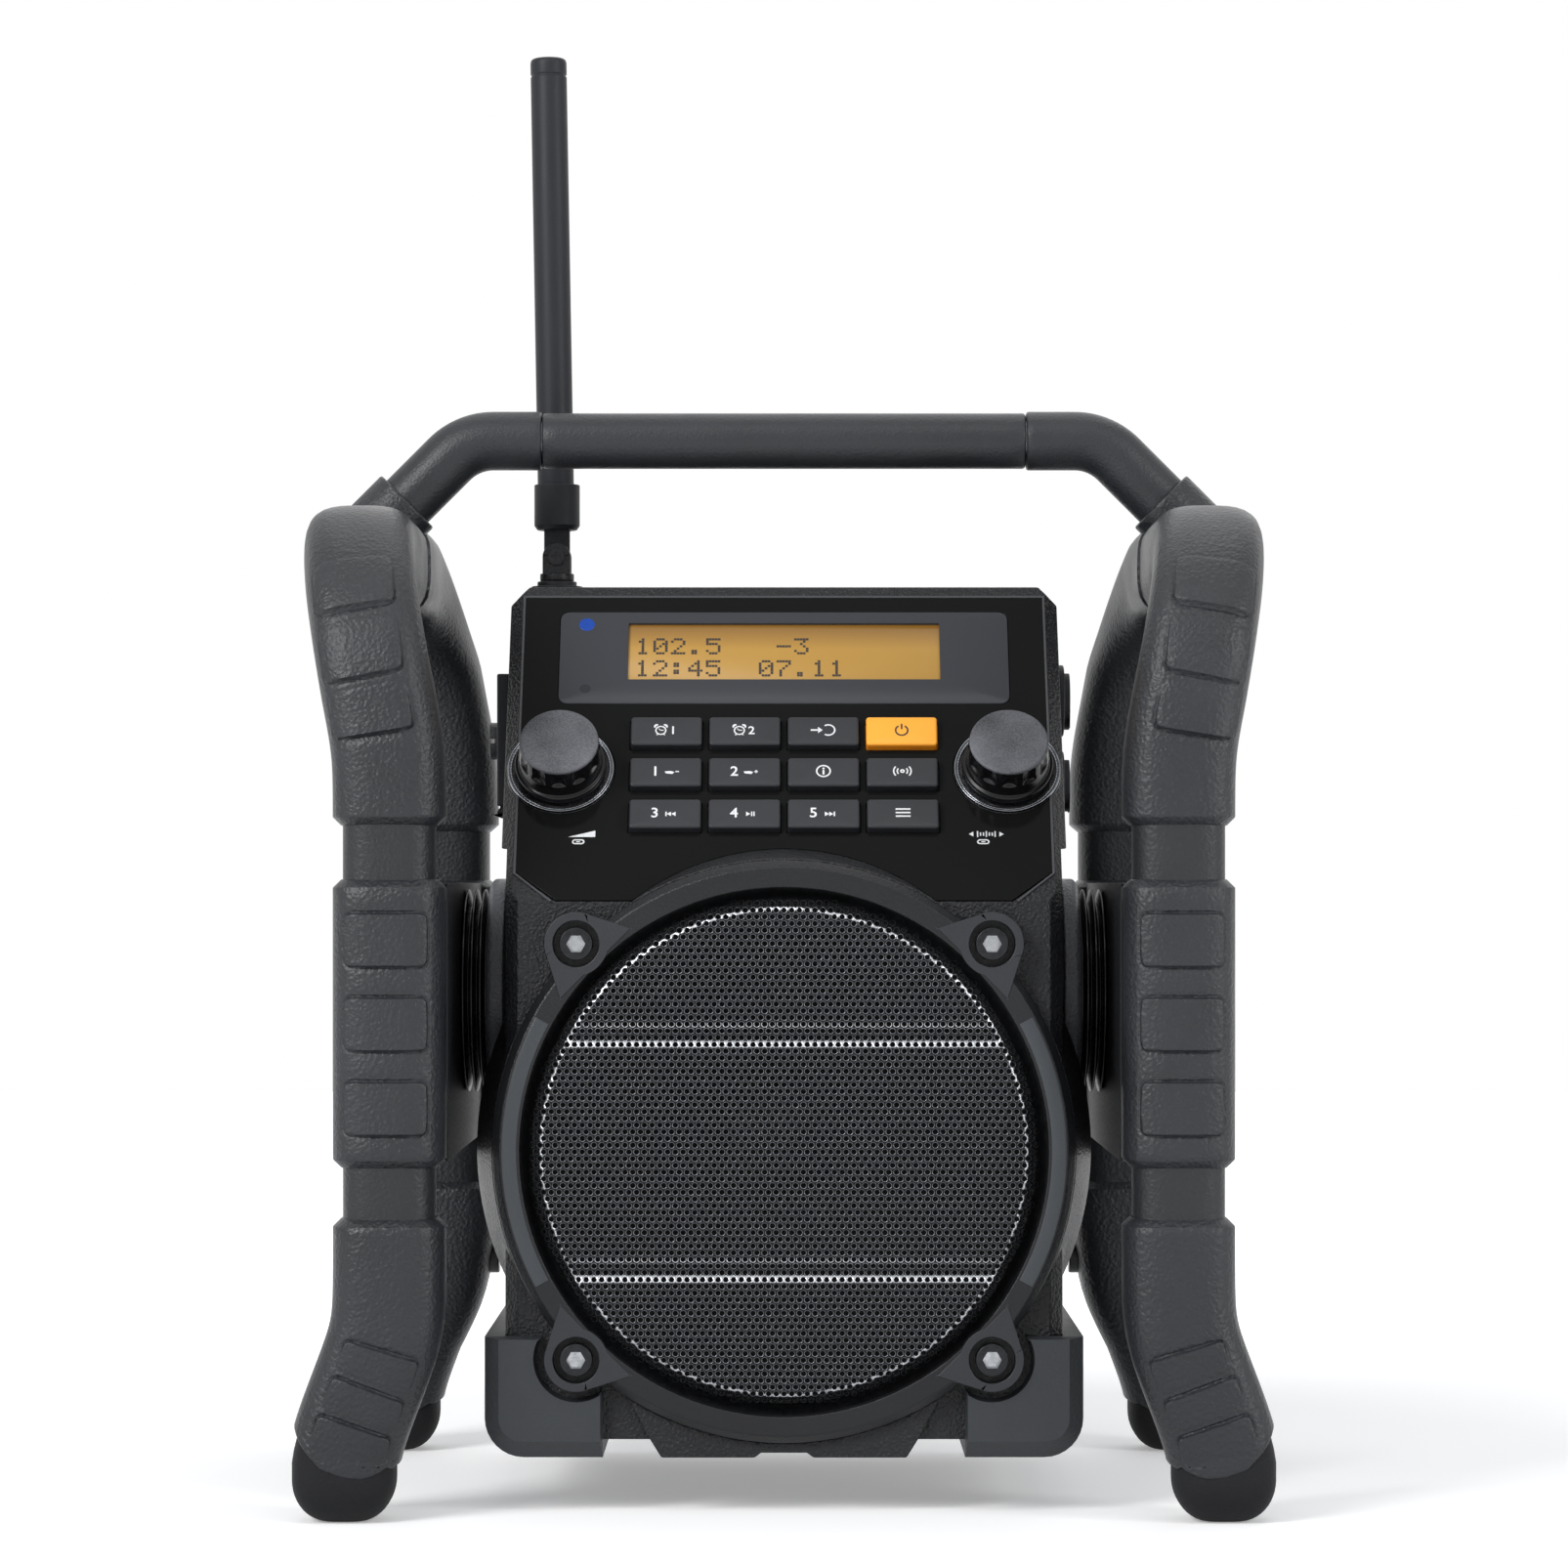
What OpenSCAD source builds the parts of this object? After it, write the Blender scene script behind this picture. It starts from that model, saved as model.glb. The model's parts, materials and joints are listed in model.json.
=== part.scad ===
/* [Cage] */
// Gap between the cabinet's side and the legs' inner faces
side_gap = 16.8; // [16:0.1:20]
// Front-to-back place of each leg's centre line
leg_y = 95; // [92:0.5:110]
// Width of a leg sleeve, seen from the front
sleeve_w = 33.8; // [31:0.2:36]
// Depth of a leg sleeve, front to back
sleeve_d = 34; // [31:0.2:36]
// Thickness of the rubber sleeve over the moulded leg
sleeve_wall = 3; // [2.2:0.1:4]
// Height of the centre line of the cage's top arch
arch_z = 294; // [288:1:310]
// Radius of the bend between a leg and the top arch
arch_bend = 44; // [36:1:52]
// Height at which the legs start to lean outward at the top
top_bend_z = 232; // [226:1:240]
// Outward lean of the legs above that height, in mm per mm
top_lean = 0.195; // [0.1:0.005:0.25]
// Height at which the legs start to splay outward at the bottom
low_bend_z = 58; // [52:1:62]
// Outward splay of the legs below that height, in mm per mm
low_lean = 0.385; // [0.2:0.005:0.42]
// Height of the rubber foot caps
foot_h = 16; // [14:0.5:20]
// Extra thickness of the rear uprights towards the inside, at the top
rear_extra = 5; // [0:0.5:6]

/* [Sleeve bands] */
// Lowest point of the top sleeves
top_sleeve_z = 209.7; // [205:0.5:215]
// Lowest point of the middle sleeves
mid_sleeve_z0 = 106.7; // [103:0.5:110]
// Highest point of the middle sleeves
mid_sleeve_z1 = 193.5; // [190:0.5:198]
// Highest point of the lower sleeves
low_sleeve_z = 91.6; // [84:0.5:94]

/* [Handle] */
// Diameter of the moulded ends of the handle
elbow_dia = 18.8; // [17:0.2:22]
// Diameter of the grip in the middle
grip_dia = 17.8; // [16:0.2:21]
// Diameter of the steel tube inside
tube_dia = 13; // [11:0.5:14.5]
// Height of the handle bar above the arches' centre line
bar_rise = 40.4; // [38:0.2:56]
// Sideways distance from an arch's centre line to the handle's corner
bar_in = 29.59; // [27.19:0.2:33.19]
// Half length of the grip
grip_half = 77.6; // [60:0.2:85]
// Bend radius of the handle's centre line
bar_bend = 20; // [16:1:24]

/* [Cabinet] */
// Half width of the cabinet below the cheeks
cab_half = 85.4; // [84:0.1:87]
// How far the upper cheeks stand out past the cabinet's sides
cheek_out = 1.8; // [1.7:0.1:2.6]
// Height where the cheeks begin
cheek_z = 203; // [201:0.5:206]
// Front face of the cabinet
front_y = -78; // [-80:0.5:-76]
// Rear face of the cabinet
rear_y = 85; // [84.5:0.5:90]
// Underside of the cabinet
base_z = 22.4; // [20:0.1:24]
// Top of the cabinet
top_z = 287; // [285:0.5:292]
// Height where the control slope begins
slope_z = 187; // [186:0.5:188]
// Tilt of the control slope from upright, in degrees
slope_tilt = 35; // [33:0.5:36]
// Wall of the cabinet
wall = 3; // [2.4:0.1:3.4]
// Where the front and rear halves meet
split_y = 30; // [24:0.5:34]

/* [Speaker] */
// Height of the loudspeaker's centre
spk_z = 110.6; // [110:0.1:112]
// Inner radius of the bezel ring
ring_in = 80.5; // [79.5:0.1:81.5]
// Outer radius of the bezel ring's face
ring_out = 86.5; // [85.5:0.1:87]
// Thickness of the bezel ring
ring_t = 8; // [7:0.1:9]
// Sideways and upward offset of each bezel screw from the centre
ear_off = 63.3; // [62.8:0.1:64]
// Radius of the rounded ear round each screw
ear_r = 9.8; // [9:0.1:11]
// Radius of the drum behind the ring, at its widest
drum_r = 95.2; // [92:0.1:97]
// Diameter of the bezel screws
bezel_screw = 6; // [5:0.5:6]

/* [Controls] */
// Gap between two keys, side by side
key_gap = 2.2; // [1.9:0.1:4]
// Height of a key's face
key_h = 10.9; // [8:0.1:11.4]
// Gap between the outer keys and the knobs' raised rounds
key_margin = 4.75; // [4.05:0.1:5.15]
// Distance between key rows, along the slope
key_pitch_v = 15.9; // [15.7:0.1:16.2]
// Middle key row, measured up the slope
key_mid_v = 46.8; // [46.4:0.1:47.2]
// How far a key's face stands over the panel
key_proud = 2.9; // [2:0.1:4]
// Travel of a key
key_travel = 1.2; // [0.6:0.1:1.4]
// Distance from the cabinet's side to a knob's centre
knob_side = 15.9; // [15.4:0.1:16.4]
// Place of the knobs, measured up the slope
knob_v = 49.5; // [48:0.5:52]
// Radius of a knob's skirt
skirt_r = 14.3; // [13:0.1:14.6]
// Radius of a knob's cap
cap_r = 12.2; // [11:0.1:12.8]
// Height of a knob above the panel
knob_h = 15; // [12:0.5:18]
// Diameter of a knob's shaft
shaft_dia = 6; // [5:0.5:6]
// Push travel of a knob
knob_push = 0.8; // [0.4:0.1:1]
// Width of the display window
window_w = 142; // [136:0.5:146]
// Height of the display window, along the slope
window_h = 36.6; // [34:0.2:37]
// Middle of the display window, measured up the slope
window_v = 93.4; // [93:0.1:94]
// Middle of the visible display, measured up the slope
lcd_v = 96; // [95:0.1:96.4]
// Width of the visible display
lcd_w = 98.6; // [90:0.2:100]
// Height of the visible display
lcd_h = 22.4; // [20:0.2:24]

/* [Antenna] */
// Distance from the cabinet's left side to the antenna's centre
ant_side = 10.4; // [9.4:0.5:15.4]
// Front-to-back place of the antenna
ant_y = 46; // [42:0.5:52]
// Diameter of the rubber whip
whip_dia = 12; // [9:0.2:12.6]
// Height of the antenna's tip
whip_top = 465; // [420:1:470]
// Sideways lean of the whip, in degrees
whip_lean = 1; // [0:0.2:1.4]

/* [Battery bay] */
// Radius of one cell
cell_r = 16.3; // [15.5:0.1:16.6]
// Length of one cell
cell_len = 60.6; // [58:0.2:61]

/* [Side openings] */
// Height of the middle of the port door
port_z = 238; // [236:0.5:240]
// Height of the port door
port_h = 42; // [38:0.5:43]
// Length of the port door, front to back
port_len = 36; // [32:0.5:38]
// Height of the upper round cap
aux_z = 251; // [250:0.5:253]
// Height of the lower round cap
dc_z = 224; // [221:0.5:226]

/* [Hidden] */
$fn = 64;

// Clearances
fit = 0.15;            // between parts that are fitted into each other
slide_fit = 0.3;       // round keys and doors that move
shaft_fit = 0.05;      // radial, on pins and shafts
eps = 0.01;            // overshoot of a cut

charcoal = "#34363a";
rubber = "#2c2e31";
gloss = "#141416";

// ---- Cage -------------------------------------------------------------------------------

plate_in = cab_half + side_gap;        // inner faces of the legs and the side plates
leg_x = plate_in + sleeve_w / 2;       // sideways place of an upright leg's centre line
core_w = sleeve_w - 2 * sleeve_wall;
core_d = sleeve_d - 2 * sleeve_wall;
softness = 4;          // length over which a leg eases into its lean
low_end_z = 21;        // below this the leg hangs straight down again
straight_end = 2.2;     // length of the plain upright end of a leg, over its foot cap
corner_power = 3.4;    // squareness of a leg's section: 2 is an ellipse

function ease(d) = softness * ln(1 + exp(d / softness));
function leg_at(z) = let (h = max(z, foot_h + straight_end)) leg_x + top_lean * ease(h - top_bend_z)
    + low_lean * (ease(low_bend_z - h) - ease(low_end_z - h));

// Centre line of one side of the cage, as [y, z] and its direction.
bend_z = arch_z - arch_bend;
function arc_yz(a) = [-leg_y + arch_bend * (1 - cos(a)), bend_z + arch_bend * sin(a)];
function leg_point(z) = [leg_at(z), -leg_y, z];
function arc_point(a) = [leg_at(arc_yz(a)[1]), arc_yz(a)[0], arc_yz(a)[1]];
function back(p) = [p[0], -p[1], p[2]];
function unit(v) = v / norm(v);

// A closed ring of points round centre c, across direction t. The section is a rounded
// rectangle with half sizes a (sideways) and b; shift moves the section sideways.
function power(v) = sign(v) * pow(abs(v), 2 / corner_power);
function ring(c, t, a, b, n, shift = 0) =
    let (u = unit([1, 0, 0] - t * t[0]), w = cross(t, u))
    [for (i = [0:n - 1]) let (q = 360 * (i + 0.5) / n)
        c + (a * power(cos(q)) + shift) * u + b * power(sin(q)) * w];

// Rings at a run of centre points, each [centre, half width, half depth, shift].
function rings(run, n) = [for (i = [0:len(run) - 1])
    let (p = run[max(i - 1, 0)][0], q = run[min(i + 1, len(run) - 1)][0])
    ring(run[i][0], unit(q - p), run[i][1], run[i][2], n, run[i][3])];

// A skin over rings, closed at both ends.
module skin(loops) {
    n = len(loops[0]);
    m = len(loops);
    polyhedron(points = [for (r = loops) each r], faces = concat(
        [[for (i = [0:n - 1]) i]],
        [for (j = [0:m - 2]) for (i = [0:n - 1]) each [
            [j * n + i, (j + 1) * n + i, (j + 1) * n + (i + 1) % n],
            [j * n + i, (j + 1) * n + (i + 1) % n, j * n + (i + 1) % n]]],
        [[for (i = [0:n - 1]) m * n - 1 - i]]));
}

module both_sides() { children(); mirror([1, 0, 0]) children(); }
module four_legs() { both_sides() { children(); mirror([0, 1, 0]) children(); } }

core_n = 16;
sleeve_n = 20;

function core_run(g) = [for (p = concat(
        [for (z = [foot_h + (g > 0 ? -1 : 0.3), foot_h + straight_end, 24, 36, 48, low_bend_z,
            low_bend_z + 10, top_bend_z - 12, top_bend_z, top_bend_z + 10]) leg_point(z)],
        [for (a = [0:18:90]) arc_point(a)])) [p, core_w / 2 + g, core_d / 2 + g, 0]];
function back_run(run) = [for (i = [len(run) - 1:-1:0])
    [back(run[i][0]), run[i][1], run[i][2], run[i][3]]];

// The moulded leg loop of the right side, grown all round by g.
module loop_core(g) {
    run = core_run(g);
    skin(rings(concat(run, back_run(run)), core_n));
}

// Extra inner thickness of the rear upright, from nothing at the arch to rear_extra below.
function extra(z) = rear_extra * min(1, max(0, (arch_z + 6 - z) / 38));

sleeve_end = 2.2;      // chamfer at a sleeve's end
function sleeve_run(zs, rear) = [for (i = [0:len(zs) - 1])
    let (last = (i == 0 || i == len(zs) - 1) ? sleeve_end * 0.8 : 0,
         e = rear ? extra(zs[i]) / 2 : 0)
    [rear ? back(leg_point(zs[i])) : leg_point(zs[i]),
        sleeve_w / 2 - last + e, sleeve_d / 2 - last, -e]];

function top_half(rear) = concat(
    [for (z = [top_sleeve_z, top_sleeve_z + sleeve_end, top_bend_z - 8, top_bend_z, top_bend_z + 8])
        let (e = rear ? extra(z) / 2 : 0, c = z == top_sleeve_z ? sleeve_end * 0.8 : 0)
        [leg_point(z), sleeve_w / 2 - c + e, sleeve_d / 2 - c, -e]],
    [for (a = [0:15:90]) let (e = rear ? extra(arc_point(a)[2]) / 2 : 0)
        [arc_point(a), sleeve_w / 2 + e, sleeve_d / 2, -e]]);

module top_sleeve() {
    difference() {
        union() {
            skin(rings(concat(top_half(false), back_run(top_half(true))), sleeve_n));
            on_handle_end() cylinder(d = elbow_dia + 2 * socket_wall, h = socket_len);
        }
        loop_core(fit);
        on_handle_end() translate([0, 0, -eps])
            cylinder(d = elbow_dia + 2 * fit, h = socket_len + 2 * eps);
        on_handle_end() translate([0, 0, -tube_deep - 1])
            cylinder(d = tube_dia + 2 * shaft_fit, h = tube_deep + 2);
    }
}

module straight_sleeve(zs) {
    difference() {
        skin(rings(sleeve_run(zs, false), sleeve_n));
        loop_core(fit);
    }
}

module right_frame() color(charcoal) difference() {
    loop_core(0);
    on_handle_end() cylinder(d = elbow_dia + 2 * fit, h = socket_len);
    on_handle_end() translate([0, 0, -tube_deep])
        cylinder(d = tube_dia + 2 * shaft_fit, h = tube_deep + eps);
}
module left_frame() mirror([1, 0, 0]) right_frame();
module right_top_sleeve() color(rubber) top_sleeve();
module left_top_sleeve() mirror([1, 0, 0]) right_top_sleeve();

module mid_sleeves() color(rubber) four_legs()
    straight_sleeve([mid_sleeve_z0, mid_sleeve_z0 + sleeve_end, mid_sleeve_z1 - sleeve_end,
        mid_sleeve_z1]);

module lower_sleeves() color(rubber) four_legs() intersection() {
    straight_sleeve([foot_h - 3, foot_h + 2 * sleeve_end, 28, 38, 50, 62, low_sleeve_z - sleeve_end,
        low_sleeve_z]);
    box(0, 200, -200, 0, foot_h + 0.1, low_sleeve_z + 10);
}

// Foot: a rubber cap with a rounded end and a small flat to stand on.
foot_flat = 0.3;       // half size of the flat, as a share of the cap's
function foot_ring(s) = let (k = foot_flat + (1 - foot_flat) * sin(s), z = foot_h * 0.8 * (1 - cos(s)))
    [[leg_at(foot_h), -leg_y, z], (sleeve_w / 2 - 1.3) * k, (sleeve_d / 2 - 0.5) * k, 0];
module foot_caps() color("#1b1b1d") four_legs()
    skin([for (r = concat([for (s = [0:18:90]) foot_ring(s)],
        [[[leg_at(foot_h), -leg_y, foot_h], sleeve_w / 2 - 1.3, sleeve_d / 2 - 0.5, 0]]))
        ring(r[0], [0, 0, 1], r[1], r[2], sleeve_n)]);

// ---- Handle -----------------------------------------------------------------------------

socket_wall = 2.4;
socket_len = 8;
tube_deep = 12;        // how far the steel tube runs on past the moulded end
end_drop = 25;         // height from the bar down to the end of the moulded handle
bar_z = arch_z + bar_rise;
bar_corner_x = leg_at(arch_z) - bar_in;
handle_end = [bar_corner_x + end_drop, 0, bar_z - end_drop];
bend_len = bar_bend * tan(22.5);

// Puts +Z along the slanted end of the right side, pointing up towards the bar.
module on_handle_end() { translate(handle_end) rotate([0, -45, 0]) children(); }

// Right half of the handle's centre line, from x0 on the bar to the end plus more.
function half_path(x0, more) = concat([[x0, 0, bar_z]],
    [for (a = [0:9:45]) [bar_corner_x - bend_len + bar_bend * sin(a), 0,
        bar_z - bar_bend * (1 - cos(a))]],
    [handle_end + more * [1, 0, -1] / sqrt(2)]);
function round_ring(c, t, r, n) = let (u = cross(t, [0, 1, 0]))
    [for (i = [0:n - 1]) c + r * (cos(360 * i / n) * [0, 1, 0] + sin(360 * i / n) * u)];
module pipe(d, path, n = 32) skin([for (i = [0:len(path) - 1])
    round_ring(path[i], unit(path[min(i + 1, len(path) - 1)] - path[max(i - 1, 0)]), d / 2, n)]);
function mirrored(path) = [for (i = [len(path) - 1:-1:0]) [-path[i][0], path[i][1], path[i][2]]];

module handle_tube() color("#8a8d90") let (half = half_path(0, tube_deep - 0.5))
    pipe(tube_dia, concat([for (p = mirrored(half)) if (p[0] != 0) p],
        [for (p = half) if (p[0] != 0) p]));
module handle_elbows() color(charcoal) both_sides() difference() {
    pipe(elbow_dia, half_path(grip_half, 0));
    pipe(tube_dia + 2 * shaft_fit, half_path(grip_half - 1, 1));
}
module handle_grip() color(rubber) translate([-grip_half + fit, 0, bar_z]) rotate([0, 90, 0])
    difference() {
        cylinder(d = grip_dia, h = 2 * (grip_half - fit));
        translate([0, 0, -1]) cylinder(d = tube_dia + 2 * shaft_fit, h = 2 * grip_half + 2);
    }

// ---- Cabinet ----------------------------------------------------------------------------

top_y = front_y + (top_z - slope_z) * tan(slope_tilt);
slope_len = (top_z - slope_z) / cos(slope_tilt);
cheek_half = cab_half + cheek_out;     // half width at the cheeks
slope_wall = 4.5;      // wall under the control panel
panel_t = 2.3;
panel_proud = 0.3;
edge_cut = 4;          // chamfer along the cabinet's front edges

// Local frame of the slope: X sideways, Y up the slope, Z out of it.
module on_slope(x = 0, v = 0, n = 0)
    translate([0, front_y, slope_z]) rotate([90 - slope_tilt, 0, 0]) translate([x, v, n]) children();

// Side outline of the cabinet, drawn inward by w.
function side_outline(w) = [
    [front_y + w, base_z + w],
    [front_y + w, slope_z - w * tan(slope_tilt / 2)],
    [top_y + w * tan(45 - slope_tilt / 2), top_z - w],
    [rear_y - w, top_z - w],
    [rear_y - w, base_z + w]];

module across(half) rotate([90, 0, 90]) translate([0, 0, -half]) linear_extrude(2 * half) children();
module rod_x(r, x0, x1) translate([x0, 0, 0]) rotate([0, 90, 0]) cylinder(r = r, h = x1 - x0);
module rod_y(r, y0, y1) translate([0, y0, 0]) rotate([-90, 0, 0]) cylinder(r = r, h = y1 - y0);
module turned_y() rotate([-90, 0, 0]) rotate_extrude($fn = 96) children();
module box(x0, x1, y0, y1, z0, z1) translate([x0, y0, z0]) cube([x1 - x0, y1 - y0, z1 - z0]);
module diamond(c, h) linear_extrude(h) circle(r = c, $fn = 4);

module cabinet_form() difference() {
    union() {
        across(cab_half) polygon(side_outline(0));
        intersection() {
            across(cheek_half) polygon(side_outline(0));
            box(-100, 100, -100, 100, cheek_z, top_z + 10);
        }
    }
    for (s = [-1, 1]) {
        translate([s * cab_half, front_y, base_z - 1]) diamond(edge_cut, slope_z - base_z + 4);
        on_slope(s * cheek_half, -5, 0) rotate([-90, 0, 0]) diamond(edge_cut, slope_len + 20);
        translate([s * cheek_half, -60, top_z]) rotate([-90, 0, 0]) diamond(6, 160);
        translate([s * cab_half, rear_y, base_z - 1]) diamond(edge_cut, cheek_z - base_z + 1);
        translate([s * cheek_half, rear_y, cheek_z]) diamond(edge_cut, top_z - cheek_z + 1);
    }
}

module cabinet_hollow() difference() {
    across(cab_half - wall) polygon(side_outline(wall));
    on_slope(-120, -40, -slope_wall) cube([240, slope_len + 80, 20]);
}

// The drum that carries the ring, as rings of [radius, y].
ring_flank = ring_out + 2.3;
drum_face = ring_flank + 0.6;
drum_wide_y = front_y + 22;
drum_end_y = front_y + 40;
module drum(g) intersection() {
    translate([0, 0, spk_z]) turned_y() polygon([[0, front_y], [drum_face + g, front_y],
        [drum_r + g, drum_wide_y], [drum_r + g, drum_end_y], [drum_face + g, drum_end_y + 5],
        [0, drum_end_y + 5]]);
    box(-120, 120, -120, 120, base_z, top_z);
}
module drum_hollow() intersection() {
    translate([0, 0, spk_z]) rod_y(drum_face - wall, front_y + wall, drum_end_y + 5);
    across(120) polygon(side_outline(wall));
}

knob_boss = 16.85;     // radius of the raised round under a knob
knob_x = cab_half - knob_side;
key_pitch_x = (knob_x - knob_boss - key_margin + key_gap / 2) / 2;
key_w = key_pitch_x - key_gap;
window_pocket = 1.2;
key_open_w = 4 * key_pitch_x + 3;
key_open_h = 3 * key_pitch_v + 2;
bush_r = 4.5;

// Outline of the glossy panel on the slope, grown by g.
panel_half = cab_half - 3.1;
panel_top = slope_len - 4.6;
corner_cut = 12.5;
module panel_shape(g) polygon([[-panel_half - g, panel_top + g], [panel_half + g, panel_top + g],
    [panel_half + g, 10.5 - g / 2], [panel_half - corner_cut + g / 2, -g],
    [-panel_half + corner_cut - g / 2, -g], [-panel_half - g, 10.5 - g / 2]]);

// Centres of the columns that take the long cabinet screws, as [x, z].
column_r = 5.5;
column_in = wall + column_r - 1;       // from a cabinet face to a column's centre
columns = [for (s = [-1, 1]) each [[s * (cab_half - column_in), base_z + 13.6],
    [s * (cab_half - column_in), slope_z + 9], [s * (cab_half - 25.4), top_z - column_in]]];
screw_r = 2;
speaker_hole = ring_in - 4.5;
basket_r = ring_in + 1.5;
basket_in = ring_in - 9.5;
basket_t = 2.5;
basket_y = front_y + wall;
ear_boss = 6.5;
ear_boss_len = 14;
skirt_foot = 17.1;     // height of the skirt and guards above the ground

module front_skirt() translate([0, front_y - 3, 0]) rotate([90, 0, 0]) mirror([0, 0, 1])
    linear_extrude(24) polygon([[-49.3, 38.5], [-40.7, base_z], [-37.4, skirt_foot],
        [-9, skirt_foot], [-7, skirt_foot + 1.5], [7, skirt_foot + 1.5], [9, skirt_foot],
        [37.4, skirt_foot], [40.7, base_z], [49.3, 38.5]]);

module ear_places() for (a = [-1, 1], b = [-1, 1])
    translate([a * ear_off, 0, spk_z + b * ear_off]) children();

jack_y = 2;            // front-to-back place of the side sockets
jack_hole = 7.6;
port_hole_w = port_len - 8;
port_hole_h = port_h - 8;
hinge_r = 1.8;
pin_r = 0.9;
port_axis = [-cheek_half - hinge_r - 0.5, port_z - port_h / 2 - hinge_r - 0.4];

module front_housing() color(charcoal) difference() {
    union() {
        difference() {
            union() {
                cabinet_form();
                drum(0);
            }
            cabinet_hollow();
            drum_hollow();
            difference() {
                on_slope(0, 0, panel_proud - panel_t) linear_extrude(20) panel_shape(fit);
                drum(0);
            }
        }
        for (s = [-1, 1]) on_slope(s * knob_x, knob_v, -0.8 * slope_wall)
            cylinder(r = knob_boss, h = 0.8 * slope_wall + panel_proud);
        difference() {
            front_skirt();
            translate([0, 0, spk_z]) rod_y(ring_flank + fit, front_y - 20, front_y);
            box(-60, 60, front_y + wall, 0, base_z + wall, 60);
        }
        ear_places() rod_y(ear_boss, front_y + eps, front_y + wall + ear_boss_len);
        for (c = columns) translate([c[0], 0, c[1]]) rod_y(column_r, 0, split_y);
        port_lugs();
    }
    box(-120, 120, split_y, 120, 0, top_z + 10);
    translate([0, 0, spk_z]) {
        rod_y(speaker_hole, front_y - 10, front_y + 10);
        rod_y(basket_r + fit, basket_y, basket_y + basket_t + fit);
    }
    ear_places() rod_y(bezel_screw / 2 + shaft_fit, front_y - 10, front_y + wall + ear_boss_len + 1);
    for (c = columns) translate([c[0], 0, c[1]]) rod_y(screw_r + shaft_fit, -1, split_y + 1);
    on_slope(-key_open_w / 2, key_mid_v - key_open_h / 2, -10) cube([key_open_w, key_open_h, 20]);
    on_slope(-lcd_w / 2 - 3.5, window_v - 14.5, -10) cube([lcd_w + 7, 29, 20]);
    for (s = [-1, 1]) on_slope(s * knob_x, knob_v, -10) cylinder(r = bush_r + fit, h = 20);
    for (z = [aux_z, dc_z]) translate([0, jack_y, z]) rod_x(jack_hole, cheek_half - 20, cheek_half + 10);
    box(-cheek_half - 10, -cheek_half + 20, jack_y - port_hole_w / 2, jack_y + port_hole_w / 2,
        port_z - port_hole_h / 2, port_z + port_hole_h / 2);
}

// Fixed hinge lugs with the pins, under the port door.
module port_lugs() for (y = [jack_y - 14, jack_y + 14]) translate([0, y, 0]) {
    translate([port_axis[0], -2, port_axis[1]]) rod_y(hinge_r, 0, 4);
    translate([port_axis[0], y < jack_y ? 1.9 : -5.4, port_axis[1]]) rod_y(pin_r, 0, 3.5);
    box(port_axis[0], -cheek_half + 1, -2, 2, port_axis[1] - hinge_r, port_axis[1] + 0.4);
}

// ---- Battery bay and rear half ----------------------------------------------------------

bay_half = cell_len + 2.4;
bay_z0 = base_z + 9.6;
cell_pitch = 2 * cell_r + 0.4;
bay_z1 = bay_z0 + 2 * cell_pitch + 8.6;
bay_y0 = rear_y - wall - 2 * cell_r - 4.4;
cell_y = bay_y0 + cell_r + 0.6;
door_half = bay_half + 0.7;
door_z0 = bay_z0 - 0.7;
door_z1 = bay_z1 + 0.7;
door_barrel = 2.2;
door_axis = [rear_y + door_barrel + 0.3, door_z0 + 0.2];
door_pin = 1;
latch_z = door_z1 - 7;
latch_tab = 4.5;
bay_post_h = 3;         // posts on the bay's roof, under the main board
barrel_x = [24, 44];   // start of the fixed and of the turning barrels, from the middle

module rear_housing() color(charcoal) difference() {
    union() {
        difference() { cabinet_form(); cabinet_hollow(); }
        intersection() {
            difference() {
                box(-bay_half - wall, bay_half + wall, bay_y0 - wall, rear_y - 0.5,
                    bay_z0 - wall, bay_z1 + wall);
                box(-bay_half, bay_half, bay_y0, rear_y + 1, bay_z0, bay_z1);
            }
            box(-200, 200, split_y, 200, 0, top_z + 10);
        }
        box(-8, 8, rear_y - wall - latch_tab, rear_y - wall - 0.3, latch_z - 6, bay_z1 + 1);
        for (c = columns) translate([c[0], 0, c[1]]) rod_y(column_r, split_y, rear_y - 1);
        for (s = [-1, 1]) door_lug(s);
        for (x = [-50, 50], y = [bay_y0 + 4, rear_y - 12])
            translate([x, y, bay_z1 + wall - eps]) cylinder(r = 3, h = bay_post_h);
    }
    box(-120, 120, -120, split_y, 0, top_z + 10);
    box(-door_half, door_half, rear_y - wall, rear_y + eps, door_z0, door_z1);
    for (c = columns) translate([c[0], 0, c[1]]) {
        rod_y(screw_r + 0.2, split_y - 1, rear_y + 1);
        rod_y(2 * screw_r + 0.2, rear_y - 2.4, rear_y + 1);
    }
    translate([0, 0, latch_z]) rod_y(2.7, rear_y - wall - latch_tab - 1, rear_y + 1);
    translate([ant_x, ant_y, top_z - 10]) cylinder(r = ant_stub + fit, h = 20);
}

// Fixed barrel with its pin for the battery door, on side s.
module door_lug(s) {
    translate([s > 0 ? barrel_x[0] : -barrel_x[1] + 0.3, door_axis[0], door_axis[1]]) {
        rod_x(door_barrel, 0, barrel_x[1] - barrel_x[0] - 0.3);
        translate([s > 0 ? 0 : -8.3, 0, 0]) rod_x(door_pin, 0, barrel_x[1] - barrel_x[0] + 8);
        box(0, barrel_x[1] - barrel_x[0] - 0.3, -door_barrel - 1, 0, -6, -0.4);
    }
}

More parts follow.
